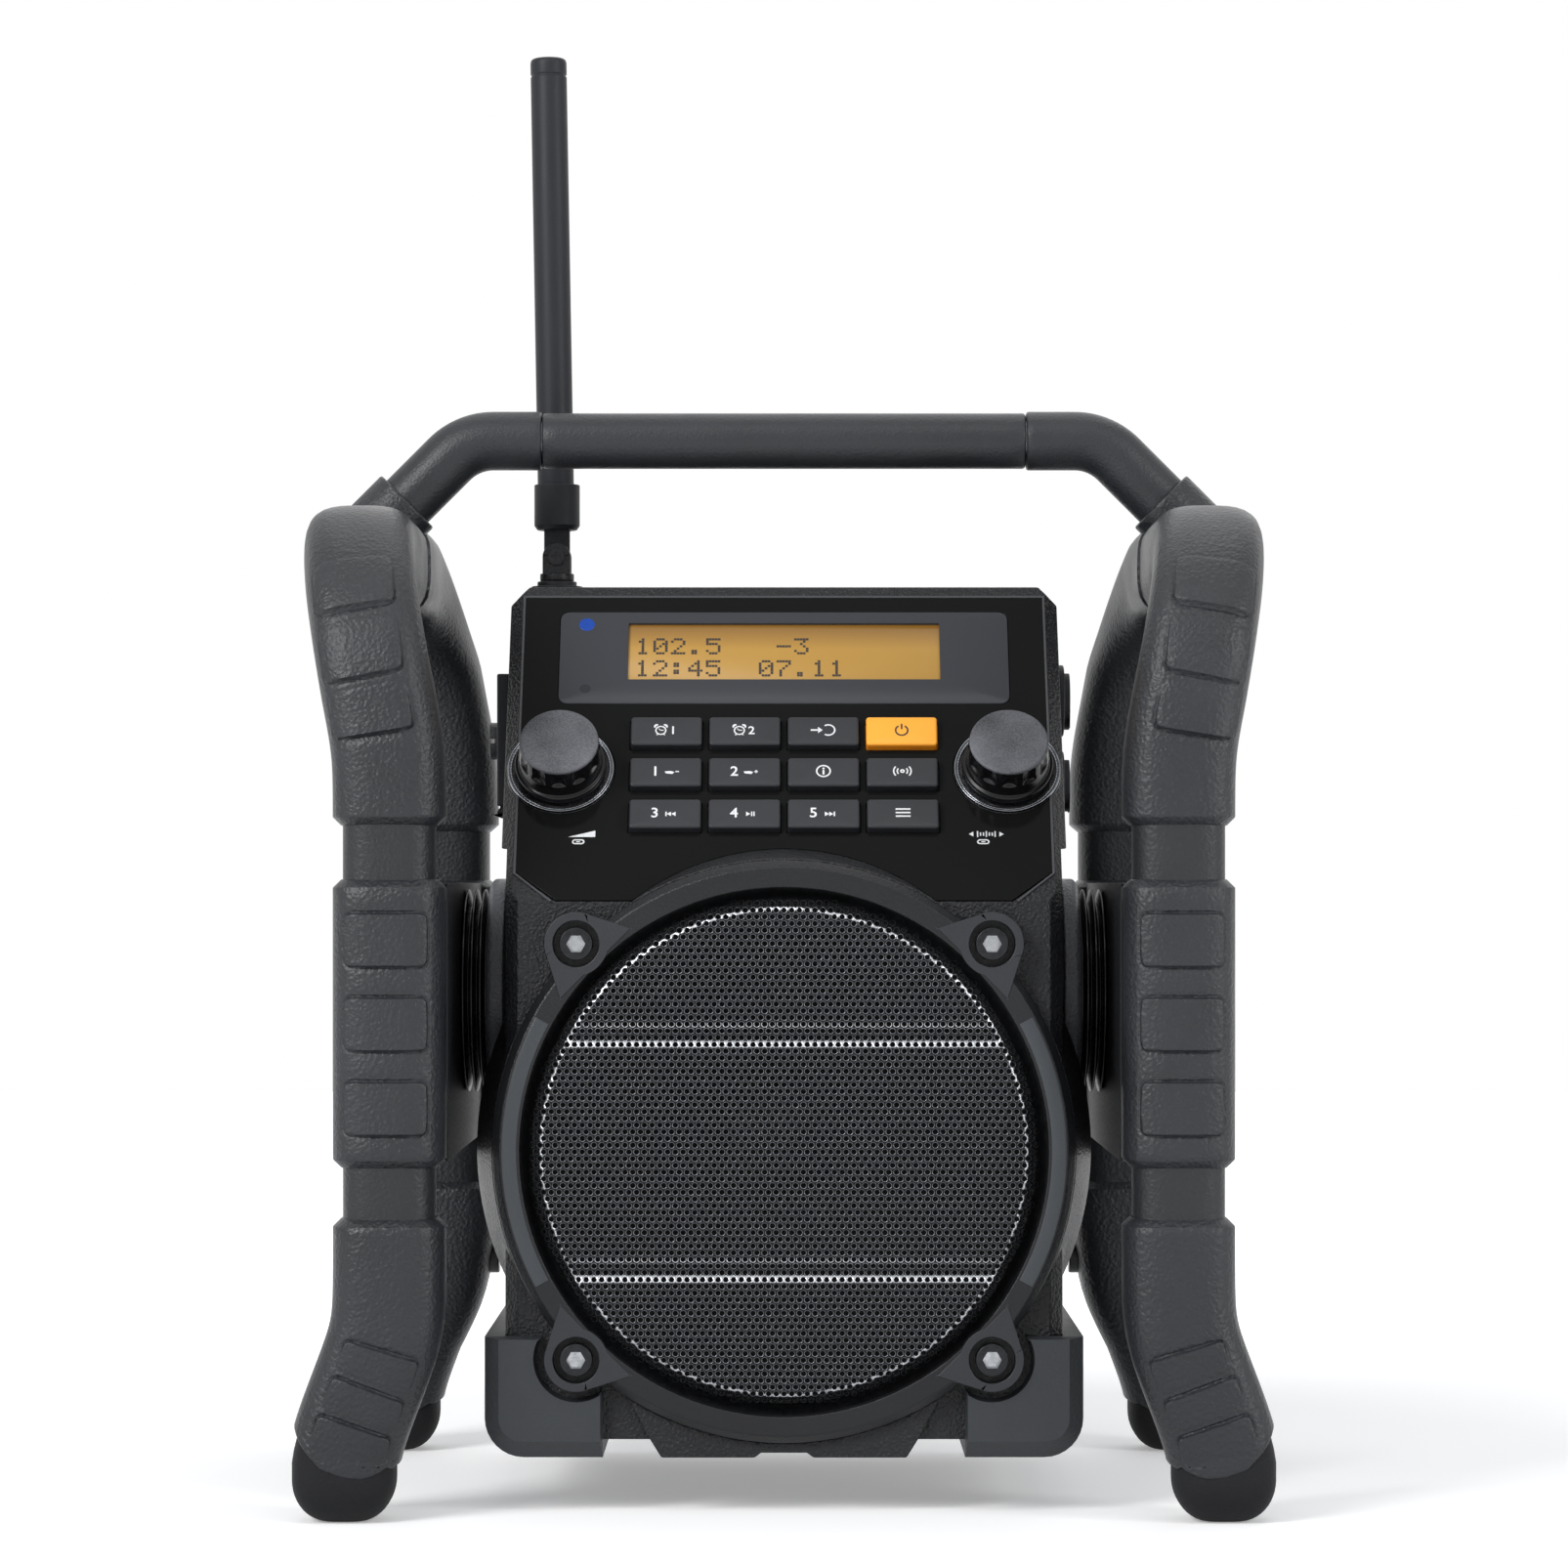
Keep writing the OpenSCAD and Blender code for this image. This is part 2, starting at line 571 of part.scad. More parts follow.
module housing_screws() color("#8d9093") for (c = columns) translate([c[0], 0, c[1]])
    difference() {
        union() {
            rod_y(screw_r, 6, rear_y - 2.3);
            rod_y(2 * screw_r, rear_y - 2.4, rear_y - 0.3);
        }
        for (a = [0, 90]) rotate([0, a, 0]) box(-2.2, 2.2, rear_y - 1.5, rear_y, -0.4, 0.4);
    }

// Rubber rails along the lower edges, with a raised guard at each front corner.
guard_half = cab_half + 6;
guard_top = 54;
guard_in = ear_off - 8;
guard_t = 5;
guard_round = 12;      // radius of a guard's lower outer corner
module guard_section() {
    translate([guard_half - guard_round, skirt_foot + guard_round]) circle(r = guard_round);
    translate([guard_in, skirt_foot])
        square([guard_half - guard_round - guard_in, guard_top - skirt_foot]);
    translate([guard_in, skirt_foot + guard_round])
        square([guard_half - guard_in, guard_top - skirt_foot - guard_round]);
}
module corner_guards() color(rubber) both_sides() difference() {
    union() {
        translate([0, front_y, 0]) rotate([90, 0, 0]) linear_extrude(guard_t)
            guard_section();
        translate([0, rear_y, 0]) rotate([90, 0, 0]) linear_extrude(rear_y - front_y)
            guard_section();
    }
    box(0, cab_half + eps, front_y, rear_y + 1, base_z - eps, guard_top + 1);
    translate([0, 0, spk_z]) rod_y(drum_face + 1.4, front_y - 20, drum_end_y);
    translate([ear_off, 0, spk_z - ear_off]) rod_y(ear_r + 2.6, front_y - 20, front_y);
    box(0, ear_off, front_y - 20, front_y, spk_z - ear_off - 1, guard_top + 1);
    translate([guard_half, front_y - guard_t, 0]) diamond(2.2, guard_top + 5);
}

// ---- Control panel ----------------------------------------------------------------------

module window_shape(g) round_rect(window_w + 2 * g, window_h + 2 * g, 3 + g);
// A rectangle with round corners, from circles and squares only.
module round_rect(w, h, r) {
    for (a = [-1, 1], b = [-1, 1]) translate([a * (w / 2 - r), b * (h / 2 - r)]) circle(r = r);
    square([w - 2 * r, h], center = true);
    square([w, h - 2 * r], center = true);
}

module key_places() for (r = [0:2], c = [0:3])
    translate([(c - 1.5) * key_pitch_x, key_mid_v + (1 - r) * key_pitch_v]) children();

module control_panel() color(gloss) difference() {
    on_slope(0, 0, panel_proud - panel_t) linear_extrude(panel_t) difference() {
        panel_shape(0);
        for (s = [-1, 1]) translate([s * knob_x, knob_v]) circle(r = knob_boss + fit);
        key_places() square([key_w + 2 * slide_fit, key_h + 2 * slide_fit], center = true);
        translate([0, lcd_v]) square([lcd_w, lcd_h], center = true);
    }
    on_slope(0, window_v, panel_proud - window_pocket) linear_extrude(5) window_shape(fit);
    drum(fit);
    translate([0, 0, spk_z]) rod_y(drum_face + fit, front_y - 2, front_y + eps);
}

module display_window() color("#46474b") on_slope(0, window_v, panel_proud - window_pocket)
    linear_extrude(window_pocket + 0.2) window_shape(0);

lcd_back = -slope_wall - 1.7;
lcd_flange_v = 18.3;      // half height of the display's circuit board
module lcd_module() color("#d39a3c") on_slope(0, window_v, 0) {
    translate([-lcd_w / 2 - 9, -lcd_flange_v, lcd_back]) cube([lcd_w + 18, 2 * lcd_flange_v, board_t]);
    translate([-lcd_w / 2 - 3, -14, lcd_back + board_t - eps])
        cube([lcd_w + 6, 28, panel_proud - panel_t - fit - lcd_back - board_t]);
    translate([-lcd_w / 2 + fit, lcd_v - window_v - lcd_h / 2 + fit, -slope_wall])
        cube([lcd_w - 2 * fit, lcd_h - 2 * fit, slope_wall + panel_proud - window_pocket - 0.1]);
}

key_under = panel_proud - panel_t - slide_fit;     // top of a key's flange
flange_t = 1;
mat_top = key_under - flange_t - key_travel - 0.3;
mat_back = -slope_wall - 1.3;
module keypad_mat() color("#5a5c60") on_slope(0, key_mid_v, 0) difference() {
    translate([-key_open_w / 2 - 3, -key_open_h / 2 - 2.5, mat_back])
        cube([key_open_w + 6, key_open_h + 5, -slope_wall - mat_back]);
    translate([-key_open_w / 2, -key_open_h / 2, mat_top]) cube([key_open_w, key_open_h, 5]);
}

board_t = 1.6;
board_half_x = knob_x - 7.5;           // the board ends beside the encoders
board_half_v = window_v - lcd_flange_v - key_mid_v - 0.3;
module key_board() color("#23562f")
    on_slope(-board_half_x, key_mid_v - board_half_v, mat_back - board_t)
        cube([2 * board_half_x, 2 * board_half_v, board_t]);

// One key at column c and row r: a face with bevelled edges on a wider flange.
module key_at(c, r, col) color(col)
    on_slope((c - 1.5) * key_pitch_x, key_mid_v + (1 - r) * key_pitch_v, 0) {
        translate([-key_w / 2 - 0.6, -key_h / 2 - 0.6, key_under - flange_t])
            cube([key_w + 1.2, key_h + 1.2, flange_t]);
        difference() {
            translate([-key_w / 2, -key_h / 2, key_under - eps])
                cube([key_w, key_h, panel_proud + key_proud - key_under + eps]);
            for (s = [-1, 1]) {
                translate([-20, s * key_h / 2, panel_proud + key_proud]) rotate([0, 90, 0])
                    diamond(0.8, 40);
                translate([s * key_w / 2, -20, panel_proud + key_proud]) rotate([-90, 0, 0])
                    diamond(0.8, 40);
            }
        }
    }

key_dark = "#222427";
module key_alarm_1() key_at(0, 0, key_dark);
module key_alarm_2() key_at(1, 0, key_dark);
module key_source() key_at(2, 0, key_dark);
module key_power() key_at(3, 0, "#ff9d1c");
module key_1() key_at(0, 1, key_dark);
module key_2() key_at(1, 1, key_dark);
module key_info() key_at(2, 1, key_dark);
module key_scan() key_at(3, 1, key_dark);
module key_3() key_at(0, 2, key_dark);
module key_4() key_at(1, 2, key_dark);
module key_5() key_at(2, 2, key_dark);
module key_menu() key_at(3, 2, key_dark);

// ---- Knobs ------------------------------------------------------------------------------

knob_foot = panel_proud + knob_push + 0.4;
shaft_r = shaft_dia / 2;
knob_top = panel_proud + knob_h;
shaft_top = knob_top - 3;
shaft_foot = -slope_wall - 5;
bush_top = panel_proud + 0.2;
encoder_back = -slope_wall - 7.5;

module knob() difference() {
    union() {
        translate([0, 0, knob_foot]) cylinder(r1 = skirt_r, r2 = skirt_r - 0.4, h = 2.6);
        translate([0, 0, knob_foot + 2.6 - eps]) cylinder(r1 = cap_r + 0.7, r2 = cap_r,
            h = knob_top - knob_foot - 3.4);
        translate([0, 0, knob_top - 0.8 - 2 * eps]) cylinder(r1 = cap_r, r2 = cap_r - 0.8, h = 0.8);
    }
    for (i = [0:11]) rotate(i * 30) translate([cap_r + 3, 0, knob_top - 6])
        cylinder(r = 3.6, h = 8, $fn = 24);
    translate([0, 0, -1]) cylinder(r = shaft_r + shaft_fit, h = shaft_top + 1.1);
    translate([0, 0, knob_foot - 1]) cylinder(r = 9.5, h = 3);
}
module shaft() translate([0, 0, shaft_foot]) cylinder(r = shaft_r, h = shaft_top - shaft_foot);

module volume_shaft() color("#a9abae") on_slope(-knob_x, knob_v, 0) shaft();
module volume_knob() color("#2a2b2e") on_slope(-knob_x, knob_v, 0) knob();
module tuning_shaft() color("#a9abae") on_slope(knob_x, knob_v, 0) shaft();
module tuning_knob() color("#2a2b2e") on_slope(knob_x, knob_v, 0) knob();
module encoders() color("#7c7f83") for (s = [-1, 1]) on_slope(s * knob_x, knob_v, 0)
    difference() {
        union() {
            translate([-6.4, -6.4, encoder_back]) cube([12.8, 12.8, -slope_wall - encoder_back]);
            translate([0, 0, -slope_wall - eps]) cylinder(r = bush_r, h = slope_wall + bush_top);
        }
        translate([0, 0, shaft_foot - knob_push - 0.3])
            cylinder(r = shaft_r + shaft_fit, h = 30);
    }
module knob_rings() color("#b9bcc0") for (s = [-1, 1]) on_slope(s * knob_x, knob_v, panel_proud)
    difference() {
        cylinder(r = knob_boss - 0.25, h = 0.9);
        translate([0, 0, -1]) cylinder(r = skirt_r + 0.9, h = 3);
    }

// ---- Loudspeaker ------------------------------------------------------------------------

ring_y = front_y - ring_t;
rebate_r = ring_in + 4;
rebate_t = 1.2;
head_r = bezel_screw * 5 / 6;
bore_depth = ring_t - 2.5;
// Ear web: from within the ring nearly tangent to the round ear, in radial and lateral steps.
ear_dist = ear_off * sqrt(2);
web_root = ring_in + 2;
ear_proud = 0.3;       // how far the ears stand over the ring's face
web_tip = [web_root * cos(10.6) - ear_dist, web_root * sin(10.6)];
web_angle = atan2(web_tip[1], web_tip[0]) - acos(ear_r / norm(web_tip));
web_edge = 0.98 * ear_r * [cos(web_angle), sin(web_angle)];

module bezel_ring() color("#222327") difference() {
    union() {
        translate([0, 0, spk_z]) turned_y() polygon([[ring_in, ring_y], [ring_out, ring_y],
            [ring_flank, ring_y + 2.3], [ring_flank, front_y], [ring_in, front_y]]);
        for (a = [45:90:315]) translate([0, front_y - 0.05, spk_z]) rotate([90, 0, 0]) rotate(a)
            linear_extrude(ring_t + ear_proud) translate([ear_dist, 0]) {
                circle(r = ear_r);
                polygon([[web_tip[0], web_tip[1]], [web_edge[0], web_edge[1]],
                    [web_edge[0], -web_edge[1]], [web_tip[0], -web_tip[1]]]);
            }
    }
    translate([0, 0, spk_z]) rod_y(rebate_r + fit, front_y - rebate_t, front_y + 1);
    ear_places() {
        rod_y(bezel_screw / 2 + 0.2, ring_y - 1, front_y + 1);
        rod_y(head_r + 2, ring_y - 1, ring_y + bore_depth);
    }
}

grille_y = ring_y + 0.5;
grille_t = 1;
flat_r = 74;
module speaker_grille() color("#17181a") difference() {
    translate([0, 0, spk_z]) turned_y() polygon([[0, grille_y], [flat_r, grille_y],
        [ring_in - 0.9, front_y - grille_t], [rebate_r, front_y - grille_t], [rebate_r, front_y - 0.05],
        [ring_in - 1.6, front_y - 0.05], [flat_r - 0.6, grille_y + grille_t + 1],
        [0, grille_y + grille_t + 1]]);
    for (s = [-1, 1]) translate([-100, grille_y, spk_z + s * 35]) rotate([0, 90, 0])
        diamond(1.4, 200);
}

module bezel_screws() color("#1d1e20") ear_places() difference() {
    union() {
        rod_y(head_r, ring_y, ring_y + bore_depth);
        rod_y(bezel_screw / 2, ring_y + 1, front_y + wall + ear_boss_len - 1);
    }
    translate([0, ring_y - 1, 0]) rotate([-90, 0, 0]) cylinder(r = bezel_screw * 0.48, h = 4, $fn = 6);
}

magnet_y = front_y + 48;
magnet_r = 45;
magnet_t = 18;
pole_t = 5;            // steel plate behind the magnet
cone_y = front_y + 1.6;
cone_lip = 4.4;        // how far the cone's edge lies on the basket's rim
cone_deep = 30.4;      // from the cone's edge to its neck
cone_neck = 17;
module speaker_basket() color("#56595d") difference() {
    translate([0, 0, spk_z]) turned_y() polygon([[basket_in, basket_y], [basket_r, basket_y],
        [basket_r, basket_y + basket_t], [basket_in + 4, basket_y + basket_t],
        [magnet_r - 3, magnet_y - 2], [magnet_r - 3, magnet_y], [magnet_r / 3, magnet_y],
        [magnet_r / 3, magnet_y - basket_t], [magnet_r - 6, magnet_y - basket_t],
        [basket_in, basket_y + 2]]);
    for (a = [0:60:300]) translate([0, 0, spk_z]) rotate([0, a, 0])
        box(magnet_r + 3, basket_in - 5, front_y + 8, magnet_y, -9, 9);
}
module speaker_magnet() color("#3d3f42") translate([0, 0, spk_z]) {
    rod_y(magnet_r, magnet_y, magnet_y + magnet_t);
    rod_y(magnet_r - 7, magnet_y + magnet_t - eps, magnet_y + magnet_t + pole_t);
}
module speaker_cone() color("#1a1a1c") translate([0, 0, spk_z]) turned_y() polygon([
    [0, cone_y + cone_deep - 5], [cone_neck, cone_y + cone_deep], [basket_in - 2, cone_y],
    [basket_in + cone_lip, cone_y], [basket_in + cone_lip, basket_y - 0.05],
    [basket_in - 1.4, basket_y - 0.05], [cone_neck, cone_y + cone_deep + 2],
    [0, cone_y + cone_deep - 3]]);

// The main board lies on the bay's four posts, with two blocks for its tallest components.
board_z = bay_z1 + wall + bay_post_h;
main_half = bay_half - 3;
block_w = 28;
block_h = [20, 10];
module main_board() color("#23562f") {
    box(-main_half, main_half, bay_y0, rear_y - wall - 3, board_z, board_z + board_t);
    box(-block_w - 12, -12, bay_y0 + 6, bay_y0 + 28, board_z + 1, board_z + 1 + block_h[0]);
    box(6, 6 + block_w, bay_y0 + 8, bay_y0 + 22, board_z + 1, board_z + 1 + block_h[1]);
}

// ---- Battery ----------------------------------------------------------------------------

module battery_cells() color("#c9a24a") for (s = [-1, 1], k = [0, 1])
    translate([s > 0 ? 0.6 : -cell_len - 0.6, cell_y, bay_z0 + cell_r + 0.2 + k * cell_pitch]) {
        rod_x(cell_r, 0, cell_len - 1.4);
        rod_x(4.7, cell_len - 1.5, cell_len);
    }

module battery_door() color(charcoal) difference() {
    union() {
        box(-door_half + slide_fit, door_half - slide_fit, rear_y - wall + 0.1, rear_y,
            door_z0 + slide_fit, door_z1 - slide_fit);
        for (s = [-1, 1]) translate([s > 0 ? barrel_x[1] : -barrel_x[1] - 10, door_axis[0],
            door_axis[1]]) {
            rod_x(door_barrel, 0, 10);
            box(0, 10, -door_barrel - 0.5, 0, 0.4, 5);
        }
        for (z = [bay_z0 + 14 : 9 : latch_z - 16]) box(-44, 44, rear_y - eps, rear_y + 0.8, z, z + 3);
    }
    for (s = [-1, 1]) translate([s > 0 ? barrel_x[1] - 1 : -barrel_x[1] - 11, door_axis[0],
        door_axis[1]]) rod_x(door_pin + shaft_fit, 0, 12);
    translate([0, 0, latch_z]) rod_y(screw_r + shaft_fit, rear_y - 10, rear_y + 5);
}

module battery_latch() color("#1f2022") translate([0, 0, latch_z]) difference() {
    union() {
        rod_y(screw_r, rear_y - wall - latch_tab, rear_y + 1);
        rod_y(6.2, rear_y + 0.05, rear_y + 4);
    }
    box(-7, 7, rear_y + 2.4, rear_y + 5, -0.8, 0.8);
}

// ---- Side openings ----------------------------------------------------------------------

port_x = -cheek_half - 0.1;
port_t = 4;
module port_door() color(rubber) difference() {
    union() {
        box(port_x - port_t, port_x, jack_y - port_len / 2, jack_y + port_len / 2,
            port_z - port_h / 2, port_z + port_h / 2);
        translate([port_axis[0], jack_y - 11.7, port_axis[1]]) rod_y(hinge_r, 0, 23.4);
        box(port_axis[0] - 1.2, port_axis[0] + 1.2, jack_y - 11.7, jack_y + 11.7,
            port_axis[1], port_axis[1] + 3);
    }
    translate([port_axis[0], jack_y - 13, port_axis[1]]) rod_y(pin_r + shaft_fit, 0, 26);
    translate([0, jack_y, port_z]) rod_x(screw_r + shaft_fit, port_x - port_t - 1, port_x + 1);
}
module port_latch() color("#1f2022") translate([0, jack_y, port_z]) difference() {
    union() {
        rod_x(6, port_x - port_t - 3.2, port_x - port_t - 0.05);
        rod_x(screw_r, port_x - port_t - 1, port_x - 0.6);
    }
    box(port_x - port_t - 4, port_x - port_t - 1.6, -7, 7, -0.8, 0.8);
}

module side_sockets() color("#4a4c50") {
    difference() {
        box(-cheek_half + 3, -cheek_half + 10, jack_y - port_hole_w / 2 + fit,
            jack_y + port_hole_w / 2 - fit, port_z - port_hole_h / 2 + fit,
            port_z + port_hole_h / 2 - fit);
        for (z = [-9, 0]) translate([0, jack_y - 6, port_z + z]) rod_x(1.8, -cheek_half, -cheek_half + 17);
        box(-cheek_half, -cheek_half + 8, jack_y - 2, jack_y + 11, port_z - 4, port_z + 2);
    }
    for (z = [aux_z, dc_z]) translate([0, jack_y, z]) difference() {
        rod_x(jack_hole - fit, cheek_half - 11, cheek_half - 3.2);
        rod_x(2.8, cheek_half - 9, cheek_half);
    }
}

// A pull-off rubber cap over a socket on the right, with a rim of radius r.
module side_cap(z, r) color(rubber) translate([0, jack_y, z]) difference() {
    union() {
        rod_x(r, cheek_half + 0.1, cheek_half + 2.6);
        rod_x(r - 2.2, cheek_half + 2.6 - eps, cheek_half + 4.4);
        rod_x(jack_hole - slide_fit, cheek_half - 2.8, cheek_half + 1);
    }
    rod_x(jack_hole - 2, cheek_half - 4, cheek_half + 0.6);
    box(cheek_half + 2.6, cheek_half + 6, -3, 3, r - 3.6, r + 2);
}
module aux_cap() side_cap(aux_z, 11.5);
module dc_cap() side_cap(dc_z, 10.8);

// ---- Antenna ----------------------------------------------------------------------------

ant_x = ant_side - cab_half;
ant_stub = 4;
spigot_r = 3;
pivot_z = top_z + 13;
cheek_t = 2.4;
tongue_t = 4.4;
pivot_pin = 1.5;
ferrule_z0 = top_z + 22;
ferrule_z1 = top_z + 37;
ferrule_r = 7.5;

module at_antenna(z = 0) translate([ant_x, ant_y, z]) children();

module antenna_base() color(rubber) difference() {
    at_antenna() {
        translate([0, 0, top_z]) cylinder(r = 8.5, h = 3.4);
        translate([0, 0, top_z + 3.4 - eps]) cylinder(r = 6.5, h = 1.6);
        translate([0, 0, top_z - 8]) cylinder(r = ant_stub, h = 9);
        translate([0, 0, top_z - wall - 4]) cylinder(r = 6.5, h = 3.95, $fn = 6);
    }
    at_antenna(top_z - 5) cylinder(r = spigot_r + shaft_fit, h = 20);
}
module antenna_knuckle() color("#2b2c2f") difference() {
    at_antenna() {
        translate([0, 0, top_z - 4.5]) cylinder(r = spigot_r, h = 10);
        translate([0, 0, top_z + 5.2]) cylinder(r = 5.6, h = 2.4);
        for (s = [-1, 1]) translate([0, s * (tongue_t / 2 + 0.1 + cheek_t / 2), 0]) {
            translate([-4.6, -cheek_t / 2, top_z + 7]) cube([9.2, cheek_t, pivot_z - top_z - 7]);
            translate([0, 0, pivot_z]) rod_y(4.6, -cheek_t / 2, cheek_t / 2);
        }
    }
    at_antenna(pivot_z) rod_y(pivot_pin + shaft_fit, -10, 10);
}
module antenna_pivot() color("#9a9da1") at_antenna(pivot_z) difference() {
    union() {
        rod_y(pivot_pin, -tongue_t / 2 - cheek_t - 0.6, tongue_t / 2 + cheek_t + 0.6);
        rod_y(2.7, -tongue_t / 2 - cheek_t - 1.6, -tongue_t / 2 - cheek_t - 0.15);
    }
    for (a = [0, 90]) rotate([0, a, 0])
        box(-1.6, 1.6, -tongue_t / 2 - cheek_t - 2, -tongue_t / 2 - cheek_t - 1, -0.3, 0.3);
}
module antenna_ferrule() color("#232427") difference() {
    at_antenna() {
        translate([0, 0, pivot_z]) rod_y(4.2, -tongue_t / 2, tongue_t / 2);
        translate([-4.2, -tongue_t / 2, pivot_z]) cube([8.4, tongue_t, ferrule_z0 - pivot_z + 1]);
        translate([0, 0, ferrule_z0]) cylinder(r1 = ferrule_r - 1, r2 = ferrule_r, h = 1.5);
        translate([0, 0, ferrule_z0 + 1.5 - eps])
            cylinder(r = ferrule_r, h = ferrule_z1 - ferrule_z0 - 1.5);
    }
    at_antenna(pivot_z) rod_y(pivot_pin + shaft_fit, -10, 10);
    whip_line() translate([0, 0, ferrule_z0 + 4 - pivot_z])
        cylinder(d = whip_dia + 2 * shaft_fit, h = 40);
}
module whip_line() translate([ant_x, ant_y, pivot_z]) rotate([0, -whip_lean, 0]) children();
tip_cut = 2;           // bevel at the antenna's tip
module antenna_whip() color(rubber) whip_line() {
    translate([0, 0, ferrule_z0 + 4.1 - pivot_z])
        cylinder(d = whip_dia, h = whip_top - ferrule_z0 - 4.1 - tip_cut);
    translate([0, 0, whip_top - tip_cut - pivot_z - eps])
        cylinder(d1 = whip_dia, d2 = whip_dia - 2 * tip_cut, h = tip_cut);
}

// ---- What joins the cabinet to the cage ----------------------------------------------------

hub_z = 158;
hub_r = 32.4;
plate_t = 6;
plate_z0 = mid_sleeve_z0 + 1;
plate_z1 = mid_sleeve_z1 - 1;

module side_plates() color(charcoal) both_sides() difference() {
    union() {
        box(plate_in, plate_in + plate_t, -leg_y + 10, leg_y - 10, plate_z0, plate_z1);
        box(plate_in + plate_t - eps, plate_in + plate_t + 5, -leg_y + 24, leg_y - 24,
            plate_z0 + 8, plate_z0 + 14);
        box(plate_in + plate_t - eps, plate_in + plate_t + 5, -leg_y + 24, leg_y - 24,
            plate_z1 - 14, plate_z1 - 8);
    }
    for (s = [-1, 1]) translate([0, s * leg_y, 0])
        skin([for (z = [mid_sleeve_z0 - 1, mid_sleeve_z1 + 1])
            ring([leg_x, 0, z], [0, 0, 1], sleeve_w / 2 + fit, sleeve_d / 2 + fit, sleeve_n)]);
}

// Ribbed rubber buffer on each side: a wide flange on the cabinet, then fins of radius hub_r.
hub_len = plate_in - cab_half - 0.1;
hub_fins = 4;
hub_root = hub_r - 5;
hub_flange_r = hub_r + 3.4;
hub_flange_t = 6.2;
fin_step = (hub_len - hub_flange_t) / hub_fins;
function fin(x) = [[hub_root, x + 0.3 * fin_step], [hub_r - 0.4, x + 0.42 * fin_step],
    [hub_r, x + 0.6 * fin_step], [hub_r, x + 0.75 * fin_step], [hub_root, x + 0.95 * fin_step]];
module hub_buffers() color("#161618") both_sides() translate([cab_half + 0.05, 0, hub_z])
    rotate([0, 90, 0]) rotate_extrude($fn = 72) polygon(concat(
        [[0, 0], [hub_flange_r, 0], [hub_flange_r, hub_flange_t - 1.6],
            [hub_flange_r - 2, hub_flange_t - 0.6], [hub_root, hub_flange_t - 0.2]],
        [for (i = [0:hub_fins - 1]) each fin(hub_flange_t + fin_step * i)],
        [[hub_root, hub_len], [0, hub_len]]));

// Short rubber stops on the inner faces of the rear legs.
stop_z = 66;
module leg_buffers() color("#161618") both_sides() translate([0, leg_y, stop_z])
    rod_x(6.2, plate_in - 5.5, plate_in - 0.05);

front_housing();
rear_housing();
housing_screws();
corner_guards();
control_panel();
display_window();
lcd_module();
keypad_mat();
key_board();
key_alarm_1();
key_alarm_2();
key_source();
key_power();
key_1();
key_2();
key_info();
key_scan();
key_3();
key_4();
key_5();
key_menu();
volume_shaft();
volume_knob();
tuning_shaft();
tuning_knob();
encoders();
knob_rings();
bezel_ring();
speaker_grille();
bezel_screws();
speaker_basket();
speaker_magnet();
speaker_cone();
main_board();
battery_cells();
battery_door();
battery_latch();
port_door();
port_latch();
side_sockets();
aux_cap();
dc_cap();
antenna_base();
antenna_knuckle();
antenna_pivot();
antenna_ferrule();
antenna_whip();
handle_tube();
handle_elbows();
handle_grip();
left_frame();
right_frame();
left_top_sleeve();
right_top_sleeve();
mid_sleeves();
lower_sleeves();
foot_caps();
side_plates();
hub_buffers();
leg_buffers();
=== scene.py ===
import json
import math

import bmesh
import bpy
import numpy as np
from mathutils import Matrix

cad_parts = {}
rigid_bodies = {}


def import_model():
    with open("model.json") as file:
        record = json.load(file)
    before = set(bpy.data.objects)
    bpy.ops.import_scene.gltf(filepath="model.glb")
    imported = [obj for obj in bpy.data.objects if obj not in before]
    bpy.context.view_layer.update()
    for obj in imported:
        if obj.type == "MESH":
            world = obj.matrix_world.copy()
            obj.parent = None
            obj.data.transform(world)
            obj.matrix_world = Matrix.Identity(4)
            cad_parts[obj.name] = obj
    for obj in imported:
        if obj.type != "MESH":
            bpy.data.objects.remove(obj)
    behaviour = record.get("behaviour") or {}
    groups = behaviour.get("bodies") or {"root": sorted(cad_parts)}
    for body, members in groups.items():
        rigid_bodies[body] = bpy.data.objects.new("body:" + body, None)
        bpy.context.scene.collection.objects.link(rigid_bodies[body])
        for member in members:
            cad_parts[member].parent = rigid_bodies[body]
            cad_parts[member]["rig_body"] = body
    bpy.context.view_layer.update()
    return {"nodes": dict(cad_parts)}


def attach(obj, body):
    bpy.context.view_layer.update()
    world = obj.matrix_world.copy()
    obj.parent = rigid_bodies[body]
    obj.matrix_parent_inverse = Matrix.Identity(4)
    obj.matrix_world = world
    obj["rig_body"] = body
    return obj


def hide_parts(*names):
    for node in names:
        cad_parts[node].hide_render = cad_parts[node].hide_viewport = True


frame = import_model()
nodes = frame["nodes"]
scene = bpy.context.scene
print("loaded", len(nodes), "nodes")

mm = 0.001


# surfaces, made from whole arrays of points

def gridFaces(rows, columns, closed=True):
    # quads between neighbouring rows and columns of a grid of points, row by row;
    # the last column joins the first where the grid is closed
    last = columns if closed else columns - 1
    r, c = np.meshgrid(np.arange(rows - 1), np.arange(last), indexing="ij")
    nxt = (c + 1) % columns
    return np.stack([r * columns + c, r * columns + nxt, (r + 1) * columns + nxt, (r + 1) * columns + c],
                    -1).reshape(-1, 4)


def surface(grid):
    # a closed grid of rings as its points in one list and the quads between them
    return grid.reshape(-1, 3), gridFaces(*grid.shape[:2])


